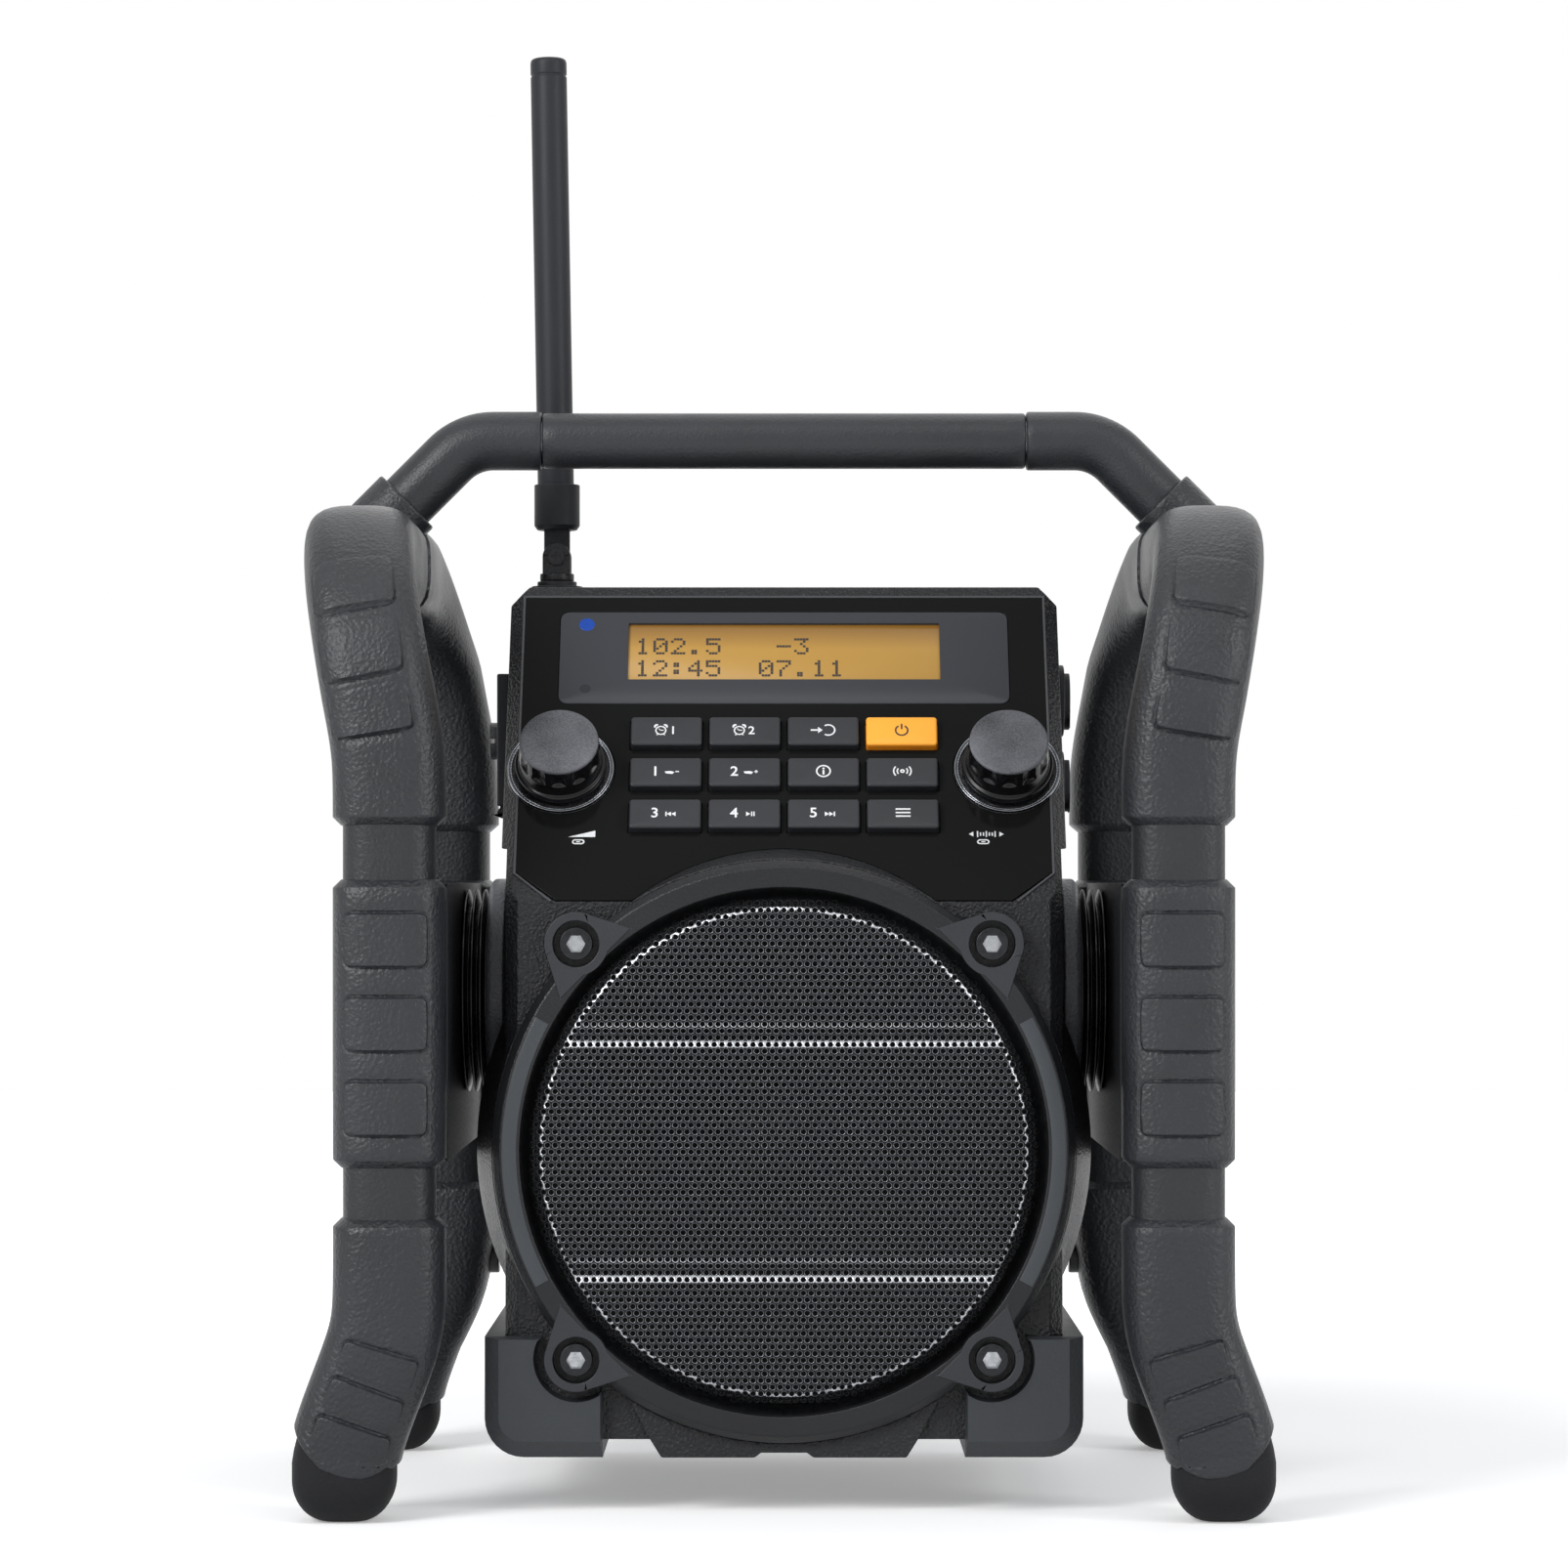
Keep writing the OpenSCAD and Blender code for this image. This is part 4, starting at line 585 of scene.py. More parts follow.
def padRise(s, g, pads):
    # raised pads: each is a rectangle with round corners in (s, g); d is the distance from its edge,
    # and its height fades from one end to the other; a fine groove runs round it
    total = np.zeros(np.broadcast(s, g).shape)
    for pad in pads:
        ds = np.abs(s - pad["s"]) - pad["halfS"] + pad["round"]
        dg = np.abs(g - pad["g"]) - pad["halfG"] + pad["round"]
        d = np.hypot(np.maximum(ds, 0), np.maximum(dg, 0)) + np.minimum(np.maximum(ds, dg), 0) - pad["round"]
        t = np.clip((s - pad["s"]) / pad["halfS"] * 0.5 + 0.5, 0, 1)
        rise = pad["low"] + (pad["high"] - pad["low"]) * t
        k = np.clip(0.5 - d / (2 * cage["edge"]), 0, 1)
        groove = cage["padGroove"] * rise / cage["padHeight"] * np.exp(-((d - 0.55) / 0.3) ** 2)
        total += rise * k * k * (3 - 2 * k) - groove
    return total


def legSkin(p, g, halves, inset=0, extra=0, pads=(), lift=None):
    # the section carried along the loop's line: centre + x u + y w, where t is the line's direction,
    # u is X made square to t, and w = t x u; p are the rows and g the places round the section;
    # inset draws a row in, extra thickens it on the inner side, lift moves its points along the line
    p = np.asarray(p, float)[:, None] * np.ones((1, len(g)))
    if lift is not None:
        p = p + lift
    c = loopCentre(p)
    t = loopCentre(p + 0.2) - loopCentre(p - 0.2)
    t /= np.linalg.norm(t, axis=-1, keepdims=True)
    u = np.array([1.0, 0, 0]) - t * t[..., :1]
    u /= np.linalg.norm(u, axis=-1, keepdims=True)
    w = np.cross(t, u)
    x, y, nx, ny = sectionAt(g, *halves)
    inset = np.broadcast_to(inset, p.shape[:1])[:, None]
    kx, ky = 1 - inset / halves[0], 1 - inset / halves[1]
    whole = sectionLength(*halves)
    rise = padRise(p, np.where(g > whole / 2, g - whole, g), pads) if pads else 0
    e = extra(c[..., 2]) if callable(extra) else 0
    px = x * kx * (1 + e / 2 / halves[0]) - e / 2 + nx * rise
    py = y * ky + ny * rise
    return c + px[..., None] * u + py[..., None] * w


def rearWide(z):
    # how much thicker a rear leg is on its inner side: nothing at the foot and over the arch
    return cage["rearExtra"] * np.clip((z - 40) / 40, 0, 1) * np.clip((300 - z) / 38, 0, 1)


def toRear(grid):
    # a front leg's grid on the other side of y = 0, its rows turned round so that it faces outwards
    grid = grid.copy()
    grid[..., 1] *= -1
    return grid[::-1]


def endRows(p, low, high):
    # rows with a chamfer at each closed end: the places along the line, and how far each is drawn in,
    # the first of them so deep that it ends inside the moulded loop
    chamfer, deep = 2.6, 3.4
    ends = np.array([[0, deep], [0, chamfer], [0.15, chamfer - 0.25], [chamfer - 0.3, 0.22], [chamfer, 0]])
    rows = [v for v in p if (not low or v > p[0] + chamfer) and (not high or v < p[-1] - chamfer)]
    draws = [0.0] * len(rows)
    if low:
        rows = list(p[0] + ends[:, 0]) + rows
        draws = list(ends[:, 1]) + draws
    if high:
        rows += list(p[-1] - ends[::-1, 0])
        draws += list(ends[::-1, 1])
    return np.array(rows), np.array(draws)


def makePads(sleeve):
    # one pad round each of the sleeve's pad heights; its rise at either end is a share of the full height
    low, high = (cage["padHeight"] * k for k in sleeve["padRise"])
    return [{"s": c, "halfS": sleeve["padHalf"][0], "g": sleeve["padSide"], "halfG": sleeve["padHalf"][1],
             "low": low, "high": high, "round": sleeve["padRound"]} for c in sleeve["pads"]]


def sleeveRows(sleeve, pads, top, low, high):
    # rows from the sleeve's start up to top, close together at the pads' edges, drawn in at closed ends
    edges = [q["s"] + k * q["halfS"] for q in pads for k in (-1, 1)]
    return endRows(spaced(sleeve["start"], top, sleeve["rowGap"], edges, *sleeve["fine"]), low, high)


def sleevePlaces(sleeve):
    # places round the section, close together at the pads' long edges
    places = spaced(-around / 2, around / 2, sleeve["sideGap"], sleeve["seams"], *sleeve["fine"])[:-1]
    return np.mod(places, around)


def sleeveSkins(rows, places, draws, pads, lift=None):
    # a front leg's skin, and the thicker rear one turned to the back
    front, rear = (legSkin(rows, places, cage["half"], draws, extra, pads, lift) for extra in (0, rearWide))
    return front, toRear(rear)


around = sectionLength(*cage["half"])

# middle sleeves: three flat pads on the outer face
middleSleeve = {"start": 106.7, "end": 193.5, "rowGap": 5, "sideGap": 3.0, "seams": (-12.5, 12.9),
                "fine": (0.3, 1.2), "pads": (124.8, 150.1, 175.3), "padHalf": (7.9, 12.7), "padSide": 0.2,
                "padRise": (1.0, 1.0), "padRound": 2.6}
pads = makePads(middleSleeve)
rows, draws = sleeveRows(middleSleeve, pads, middleSleeve["end"], True, True)
skins = sleeveSkins(rows, sleevePlaces(middleSleeve), draws, pads)
makePiece("middleSleeves", bothSides(joined([surface(g) for g in skins])), "radio", sleeveGrain,
          ["mid_sleeves"], 50)

# lower sleeves: three pads that rise towards their upper edge; the lower end is a curved lip over the foot,
# whose height above the ground is a parabola of the sideways place, steeper on the inner side
lowerSleeve = {"start": 16.1, "end": 91.6, "rowGap": 3.2, "sideGap": 2.6, "seams": (-12.9, 9.9),
               "fine": (0.32, 0.96), "pads": (25.4, 36.6, 48.0), "padHalf": (4.6, 11.6), "padSide": -1.5,
               "padRise": (0.12, 1.25), "padRound": 2.0, "lip": 13.9, "lowest": -5.8, "curve": (0.0205, 0.052),
               "fades": 30}
pads = makePads(lowerSleeve)
rows, draws = sleeveRows(lowerSleeve, pads, lowerSleeve["end"], False, True)
places = sleevePlaces(lowerSleeve)
off = sectionAt(places, *cage["half"])[0] - lowerSleeve["lowest"]
lip = lowerSleeve["lip"] + np.where(off > 0, *lowerSleeve["curve"]) * off ** 2
below = np.concatenate([[0.25, 0.0, 0.12, 0.5], np.zeros(len(rows))])
rows = np.concatenate([[lowerSleeve["start"]] * 4, rows])
draws = np.concatenate([[1.6, 0.9, 0.35, 0.08], draws])
k = np.clip((lowerSleeve["fades"] - rows) / (lowerSleeve["fades"] - lowerSleeve["start"]), 0, 1)[:, None]
drop = (lip - lowerSleeve["start"])[None, :] * k * k * (3 - 2 * k) + below[:, None]
drop[4:] += (np.clip((18 - rows[4:]) / 1.9, 0, 1) * 0.9)[:, None]
skins = sleeveSkins(rows, places, draws, pads, drop)
makePiece("lowerSleeves", bothSides(joined([surface(g) for g in skins])), "radio", sleeveGrain,
          ["lower_sleeves"], 50)

# feet: a dome that swells from a small flat to the full section, and runs up inside the sleeve
footCap = {"half": (15.6, 15.3), "dome": 12.8, "above": (14.5, 18, 22, 25.5), "flat": 0.3}
rise = np.linspace(0, np.pi / 2, 13)
footZ = np.concatenate([footCap["dome"] * (1 - np.cos(rise)), footCap["above"]])
footK = np.concatenate([footCap["flat"] + (1 - footCap["flat"]) * np.sin(rise), np.ones(4)])[:, None]
q = np.linspace(-np.pi / 2, 1.5 * np.pi, 72, endpoint=False)
fx, fy = (np.sign(f) * np.abs(f) ** (2 / cage["power"]) for f in (np.cos(q), np.sin(q)))
foot = capped(np.stack([legX(footZ)[:, None] + footCap["half"][0] * footK * fx,
                        -cage["legY"] + footCap["half"][1] * footK * fy, footZ[:, None] + 0 * fx], -1))
makePiece("footCaps", bothSides(joined([foot, mirrored(foot, 1)])), "radio", footRubber, ["foot_caps"],
          40)

# top sleeves: from the front leg over the arch to the rear leg, with three pads on each upright
topSleeve = {"start": 209.7, "rowGap": 3.4, "sideGap": 2.6, "seams": (-9.7, 14.9), "fine": (0.32, 0.96),
             "pads": (244.2, 260.2, 276.4), "padHalf": (6.6, 12.3), "padSide": 2.6, "padRise": (1.3, 0.15),
             "padRound": 2.4}
topEnd = 250 + cage["bend"] * np.pi / 2 + 51
pads = makePads(topSleeve)
rows, draws = sleeveRows(topSleeve, pads, topEnd, True, False)
front, rear = sleeveSkins(rows, sleevePlaces(topSleeve), draws, pads)
topPart = surface(np.concatenate([front, rear[1:]]))

# the handle's sockets: a collar turned round the slanted end of the bar, sunk into the sleeve
socket = roundedProfile([(10.4, -19), (11.75, -13), (11.75, 8.0), (9.55, 8.0), (9.55, 2.0)],
                        (0, 8, 0.9, 0.7, 0), 6)
slant = np.array([[0, 1.0, 0], [math.sqrt(0.5), 0, math.sqrt(0.5)], [-math.sqrt(0.5), 0, math.sqrt(0.5)]])
handleEnd = np.array([126.6, 0, 309.4])
collar = placed(surface(turned(socket, 72)), slant, handleEnd)
right = joined([topPart, collar])
makePiece("topSleeveRight", right, "radio", sleeveGrain, ["right_top_sleeve"], 50)
makePiece("topSleeveLeft", mirrored(right), "radio", sleeveGrain, ["left_top_sleeve"], 50)

# the moulded loops inside the sleeves, seen between the bands
corePlaces = np.linspace(0, sectionLength(*cage["core"]), 56, endpoint=False)
coreRows = spaced(26.5, topEnd, 7)
coreFront, coreRear = (legSkin(coreRows, corePlaces, cage["core"], extra=e) for e in (0, rearWide))
core = capped(np.concatenate([coreFront, toRear(coreRear)[1:]]))
makePiece("loopRight", core, "radio", cageGrain, ["right_frame"], 40)
makePiece("loopLeft", mirrored(core), "radio", cageGrain, ["left_frame"], 40)
print("cage done")


# handle

# radii: at an elbow's and at the grip's rounded end, growing to the full size
handle = {"barZ": 334.4, "cornerX": 101.6, "bend": 20.0, "drop": 25.0, "gripHalf": 77.6,
          "elbowRadii": (6.6, 8.75, 9.2, 9.4), "gripRadii": (6.6, 8.25, 8.65, 8.9)}


def handleLine(s0, n):
    # right half of the bar's centre line: straight, a 45 degree bend, and a slanted end
    cut = handle["bend"] * math.tan(math.pi / 8)
    straight = np.column_stack([np.linspace(s0, handle["cornerX"] - cut, n), np.full(n, handle["barZ"])])
    a = np.linspace(0, np.pi / 4, n)[1:, None]
    x = handle["cornerX"] - cut + handle["bend"] * np.sin(a)
    z = handle["barZ"] - handle["bend"] * (1 - np.cos(a))
    end = np.array([[handle["cornerX"] + handle["drop"], handle["barZ"] - handle["drop"]]])
    last = np.column_stack([x, z])
    t = np.linspace(0, 1, n)[1:, None]
    return np.concatenate([straight, last, last[-1:] * (1 - t) + end * t])


def pipeAlong(line, radii):
    # circles square to a line in the XZ plane; the line may stand still while the radius changes
    d = np.gradient(line, axis=0)
    moving = np.hypot(d[:, 0], d[:, 1]) > 1e-9
    nearest = np.abs(np.arange(len(d))[:, None] - np.flatnonzero(moving)[None]).argmin(1)
    d = d[np.flatnonzero(moving)[nearest]]
    d /= np.hypot(d[:, 0], d[:, 1])[:, None]
    q = np.linspace(0, 2 * np.pi, 56, endpoint=False)
    r = np.asarray(radii, float)[:, None]
    x = line[:, :1] - d[:, 1:] * r * np.cos(q)
    z = line[:, 1:] + d[:, :1] * r * np.cos(q)
    return np.stack([x, r * np.sin(q) + 0 * x, z], -1)


line = handleLine(handle["gripHalf"] + 0.15, 14)
lead = np.repeat(line[:1], 4, 0) + np.array([[0, 0], [0, 0], [0.25, 0], [0.7, 0]])
line = np.concatenate([lead, line[2:]])
ends = handle["elbowRadii"]
elbow = surface(pipeAlong(line, [*ends, *np.full(len(line) - 4, ends[-1])]))
makePiece("handleElbows", bothSides(elbow), "radio", gripGrain, ["handle_elbows"], 40)

gripLine = np.array([-77.45, -77.45, -77.2, -76.6, *np.linspace(-72, 72, 25), 76.6, 77.2, 77.45, 77.45])
ends = handle["gripRadii"]
gripGrid = pipeAlong(np.column_stack([gripLine, np.full(len(gripLine), handle["barZ"])]),
                     [*ends, *np.full(25, ends[-1]), *ends[::-1]])
makePiece("handleGrip", surface(gripGrid), "radio", gripGrain, ["handle_grip"], 40)
print("handle done")


# antenna

# profile: the whip's radius and height above the pivot, corner by corner, and each corner's rounding
antenna = {"x": -75.0, "y": 46.0, "pivotZ": 300.0, "lean": 1.0,
           "profile": [(0, 12.5), (5.5, 12.5), (5.98, 13.2), (5.98, 158.6), (5.7, 158.9), (5.7, 159.3),
                       (5.98, 159.6), (5.98, 164.9), (0, 164.9)],
           "rounds": (0, 0.3, 0.5, 0.3, 0.1, 0.1, 0.3, 1.8, 0)}
leanAngle = math.radians(antenna["lean"])
leanAxes = np.array([[math.cos(leanAngle), 0, math.sin(leanAngle)], [0, 1, 0],
                     [-math.sin(leanAngle), 0, math.cos(leanAngle)]])
whip = surface(turned(roundedProfile(antenna["profile"], antenna["rounds"], 6), 48))
whip = placed(whip, leanAxes, (antenna["x"], antenna["y"], antenna["pivotZ"]))
makePiece("antennaWhip", whip, "antenna_rod", whipRubber, ["antenna_whip"], 30)
print("antenna done")


# solids that keep their own shape: a merged copy gets small rounded edges

# degrees: edges that bend by more than "from" are rounded, and shading breaks past "turn", or past
# "strip" between two narrow faces
rounding = {"from": 30, "turn": 35, "strip": 50}


def edgeRoom(edge, others):
    # how wide an edge may be rounded: under half of the nearest edges that leave its ends, where their
    # far ends are rounded too, or nine tenths of them
    along = (edge.verts[1].co - edge.verts[0].co).normalized()
    room = 1.0
    for corner in edge.verts:
        for other in corner.link_edges:
            line = other.other_vert(corner).co - corner.co
            across = line.cross(along).length
            if other is edge or (other in others and across < 0.5 * line.length):
                continue
            busy = any(e in others for e in other.other_vert(corner).link_edges if e is not other)
            room = min(room, max(across, 0.05 * line.length) * (0.45 if busy else 0.9))
    return room


def shaded(mesh, thinnest):
    # each corner's normal is the mean, weighted by area, of the flat normals round its vertex that lie
    # within so many degrees of its own face's, more where both faces are strips under thinnest
    corners = len(mesh.loops)
    faces = len(mesh.polygons)
    vertex = np.empty(corners, np.int32)
    mesh.loops.foreach_get("vertex_index", vertex)
    total = np.empty(faces, np.int32)
    area = np.empty(faces, np.float32)
    normal = np.empty(3 * faces, np.float32)
    places = np.empty(3 * len(mesh.vertices), np.float32)
    mesh.polygons.foreach_get("loop_total", total)
    mesh.polygons.foreach_get("area", area)
    mesh.polygons.foreach_get("normal", normal)
    mesh.vertices.foreach_get("co", places)
    normal = normal.reshape(-1, 3)
    face = np.repeat(np.arange(faces), total)
    first = np.cumsum(total) - total
    follow = np.arange(corners) + 1
    follow[first + total - 1] = first
    here = places.reshape(-1, 3)[vertex]
    side = np.linalg.norm(here[follow] - here, axis=1)
    thin = 2 * area / np.maximum(np.bincount(face, side, faces), 1e-9) < thinnest
    order = np.argsort(vertex, kind="stable")
    count = np.bincount(vertex, minlength=len(mesh.vertices))
    begin = (np.cumsum(count) - count)[vertex[order]]
    rank = np.arange(corners) - begin
    around = count[vertex[order]]
    own = face[order]
    result = np.zeros((corners, 3))
    for shift in range(int(count.max())):
        other = face[order[begin + (rank + shift) % around]]
        near = np.einsum("ij,ij->i", normal[own], normal[other])
        angle = np.where(thin[own] & thin[other], rounding["strip"], rounding["turn"])
        limit = np.cos(np.radians(angle))
        weigh = np.where((near > limit) & (shift < around), area[other], 0)
        result += weigh[:, None] * normal[other]
    result /= np.maximum(np.linalg.norm(result, axis=1), 1e-12)[:, None]
    laid = np.empty((corners, 3))
    laid[order] = result
    mesh.polygons.foreach_set("use_smooth", np.ones(faces, bool))
    mesh.normals_split_custom_set(laid)


def refined(node, material, width, segments, hollows=False, patch=None, shortest=0.0):
    # the node's triangles are merged into flat faces, its outward edges rounded, and with hollows its
    # inward ones too; the copy stands for the node; patch is a second material and a test of face
    # middles, and edges under shortest stay sharp
    source = nodes[node]
    mesh = bpy.data.meshes.new(node + "Shell")
    b = bmesh.new()
    b.from_mesh(source.data)
    bmesh.ops.remove_doubles(b, verts=b.verts, dist=3e-6)
    bmesh.ops.dissolve_degenerate(b, edges=b.edges, dist=1e-6)
    bmesh.ops.dissolve_limit(b, angle_limit=math.radians(0.6), verts=b.verts, edges=b.edges)
    bmesh.ops.connect_verts_concave(b, faces=b.faces)
    b.normal_update()
    weight = b.edges.layers.float.new("bevel_weight_edge")
    bends = {e: e.calc_face_angle_signed(0) for e in b.edges if len(e.link_faces) == 2}
    corners = {e for e, t in bends.items() if (abs(t) if hollows else t) > math.radians(rounding["from"])
               and e.calc_length() > shortest * mm}
    for e in corners:
        e[weight] = min(1.0, edgeRoom(e, corners) / (width * mm))
    b.to_mesh(mesh)
    b.free()
    mesh.polygons.foreach_set("use_smooth", np.ones(len(mesh.polygons), bool))
    mesh.set_sharp_from_angle(angle=math.radians(rounding["turn"]))
    mesh.materials.clear()
    mesh.materials.append(material)
    if patch:
        mesh.materials.append(patch[0])
        middles = np.empty(3 * len(mesh.polygons), np.float32)
        mesh.polygons.foreach_get("center", middles)
        mesh.polygons.foreach_set("material_index", patch[1](middles.reshape(-1, 3) / mm).astype(np.int32))
    piece = bpy.data.objects.new(mesh.name, mesh)
    scene.collection.objects.link(piece)
    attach(piece, source["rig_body"])
    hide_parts(node)
    rounded = piece.modifiers.new("edges", "BEVEL")
    rounded.width = width * mm
    rounded.segments = segments
    rounded.limit_method = "WEIGHT"
    rounded.use_clamp_overlap = False
    bpy.context.view_layer.update()
    whole = piece.evaluated_get(bpy.context.evaluated_depsgraph_get())
    piece.data = bpy.data.meshes.new_from_object(whole)
    piece.modifiers.clear()
    shaded(piece.data, 0.9 * width * mm)
    return piece


def finish(node, material):
    # a solid that stays as it is gets a worked material
    mesh = nodes[node].data
    mesh.materials.clear()
    mesh.materials.append(material)


refined("front_housing", cabinetGrain, 0.45, 2)
refined("rear_housing", cabinetGrain, 0.45, 2, shortest=3.0)
refined("control_panel", panelGloss, 0.2, 2)
refined("bezel_ring", bezelFinish, 0.45, 3, patch=(earSatin, lambda c: c[:, 1] < -86.15))
# the faces round each screw's hex socket take pale metal, a painted glint
refined("bezel_screws", blackScrew, 0.35, 2,
        patch=(hexGlint, lambda c: np.hypot(np.abs(c[:, 0]) - 63.3, np.abs(c[:, 2] - 110.6) - 63.3) < 3.05))
refined("side_plates", platePaint, 0.8, 2)
refined("battery_door", cabinetGrain, 0.35, 2)
refined("battery_latch", drumFinish, 0.4, 2, hollows=True)
refined("port_door", capRubber, 0.6, 3)
refined("port_latch", drumFinish, 0.4, 2, hollows=True)
refined("aux_cap", capRubber, 0.5, 3)
refined("dc_cap", capRubber, 0.5, 3)
refined("antenna_base", whipRubber, 0.3, 2)
refined("antenna_knuckle", bezelFinish, 0.3, 2)
refined("antenna_ferrule", capRubber, 0.35, 3)
refined("leg_buffers", bellowsRubber, 0.6, 3)
for node, material in {
        "housing_screws": steelScrew, "lcd_module": boardGreen, "keypad_mat": matSilicone,
        "key_board": boardGreen, "volume_shaft": turnedSteel, "tuning_shaft": turnedSteel,
        "encoders": aluminium, "speaker_basket": greyPaint, "speaker_magnet": ironDark,
        "speaker_cone": coneFelt, "main_board": boardGreen, "battery_cells": cellWrap,
        "side_sockets": socketPlastic, "handle_tube": turnedSteel, "antenna_pivot": blackScrew}.items():
    finish(node, material)
print("solids dressed")


# corner guards: a block in front with broad chamfers, and a rail along the cabinet's lower edge
guard = {"inner": 55.3, "outer": 91.4, "foot": 17.1, "top": 54.0, "round": 12.0, "front": -83.0, "back": 85.0,
         "cabinet": 85.42, "base": 22.42, "ear": (63.3, 47.3, 12.4), "chamfer": (4.3, 5.0), "step": 0.7}


def guardOutline():
    # the block seen from the front, and how far each of its points is drawn in at the front face: most
    # along the outer side and below, little at the top and round the speaker's ear
    g = guard
    r = g["round"]
    a = np.radians(np.linspace(-90, 0, 9))
    corner = np.stack([g["outer"] - r + r * np.cos(a), g["foot"] + r + r * np.sin(a)], -1)
    x, z, r = g["ear"]
    first, last = math.asin((g["top"] - z) / r), -math.acos((g["inner"] - x) / r)
    b = np.linspace(first, last, 22)
    hollow = np.stack([x + r * np.cos(b), z + r * np.sin(b)], -1)
    side, below = g["chamfer"]
    draw = np.concatenate([[[g["step"], below]], np.stack([-side * np.cos(a), -below * np.sin(a)], -1),
                           [[-side, -g["step"]]], g["step"] * np.stack([np.cos(b), np.sin(b)], -1)])
    draw[11] = [g["step"], -g["step"]]
    draw[-1] = [g["step"], -g["step"]]
    return np.concatenate([[[g["inner"], g["foot"]]], corner, [[g["outer"], g["top"]]], hollow]), draw


outline, draw = guardOutline()
# each ring's distance behind the front face, and its share of the drawing in
steps = [[5.4, 0], [3.6, 0], [3.25, 0.04], [3.0, 0.12], [0.45, 0.9], [0.15, 0.97], [0, 1.02], [0, 1.08]]
block = np.stack([np.column_stack([(outline + k * draw)[:, 0], np.full(len(outline), guard["front"] + d),
                                   (outline + k * draw)[:, 1]]) for d, k in steps])
above = [[guard["cabinet"], guard["top"]], [guard["cabinet"], guard["base"]], [guard["inner"], guard["base"]]]
railShape = np.concatenate([outline[:11], above])
railRings = [(y, insetRing(railShape, d)) for y, d in ((-77.8, 0), (84.3, 0), (84.75, 0.15), (85.0, 0.6))]
rail = np.stack([np.column_stack([s[:, 0], np.full(len(s), y), s[:, 1]]) for y, s in railRings])
right = joined([capped(block), capped(rail)])
makePiece("cornerGuards", bothSides(right), "radio", guardGrain, ["corner_guards"], 28)


# a slim raised edge round the glossy panel, in a pale satin that is a painted highlight along the recess's
# edge
trim = {"half": 82.7, "top": 117.9, "side": 10.0, "cut": 71.3, "width": 0.8, "rise": 0.5}
path = np.array([[trim["cut"], -0.4], [trim["half"], trim["side"]], [trim["half"], trim["top"]],
                 [-trim["half"], trim["top"]], [-trim["half"], trim["side"]], [-trim["cut"], -0.4]])
way = np.diff(path, axis=0)
way /= np.linalg.norm(way, axis=1)[:, None]
away = np.stack([way[:, 1], -way[:, 0]], -1)
both = np.concatenate([away[:1], away]) + np.concatenate([away, away[-1:]])
mitre = both / (both * np.concatenate([away[:1], away])).sum(1)[:, None]
w = trim["width"] / 2
section = ((-w, 0), (-w, 0.7), (-0.6 * w, 1), (0.6 * w, 1), (w, 0.7), (w, 0))
edgeBar = np.stack([np.column_stack([path + mitre * d, np.full(len(path), trim["rise"] * h)])
                    for d, h in section], 1)
makePiece("panelEdgeHighlight", onSlope(capped(edgeBar)), "radio", trimPaintedHighlight, (), 30)


# loudspeaker grille of pierced sheet metal

grille = {"z": 110.6, "face": -85.45, "pitch": 2.36, "hole": 0.8, "lip": 0.2, "flat": 73.5, "reach": 78.3,
          "thick": 0.55, "rim": 84.2, "groove": 0.95, "upper": (31.8, 33.5, 35.4, 38.4),
          "lower": (-39.7, -38.0, -36.1, -33.1)}
channels = (grille["upper"], grille["lower"])


def grilleFace(x, z):
    # the sheet's front: flat, then falling away past the flat radius in a slope with a soft start, with
    # two horizontal channels, each steep on its lower side and gentle on its upper one
    r = np.hypot(x, z)
    fall = 0.5 * np.logaddexp(0, (r - grille["flat"] - 0.6) / 0.5) * 1.25
    cut = sum(np.interp(z, channel, (0, grille["groove"], grille["groove"], 0)) for channel in channels)
    return grille["face"] + fall + cut


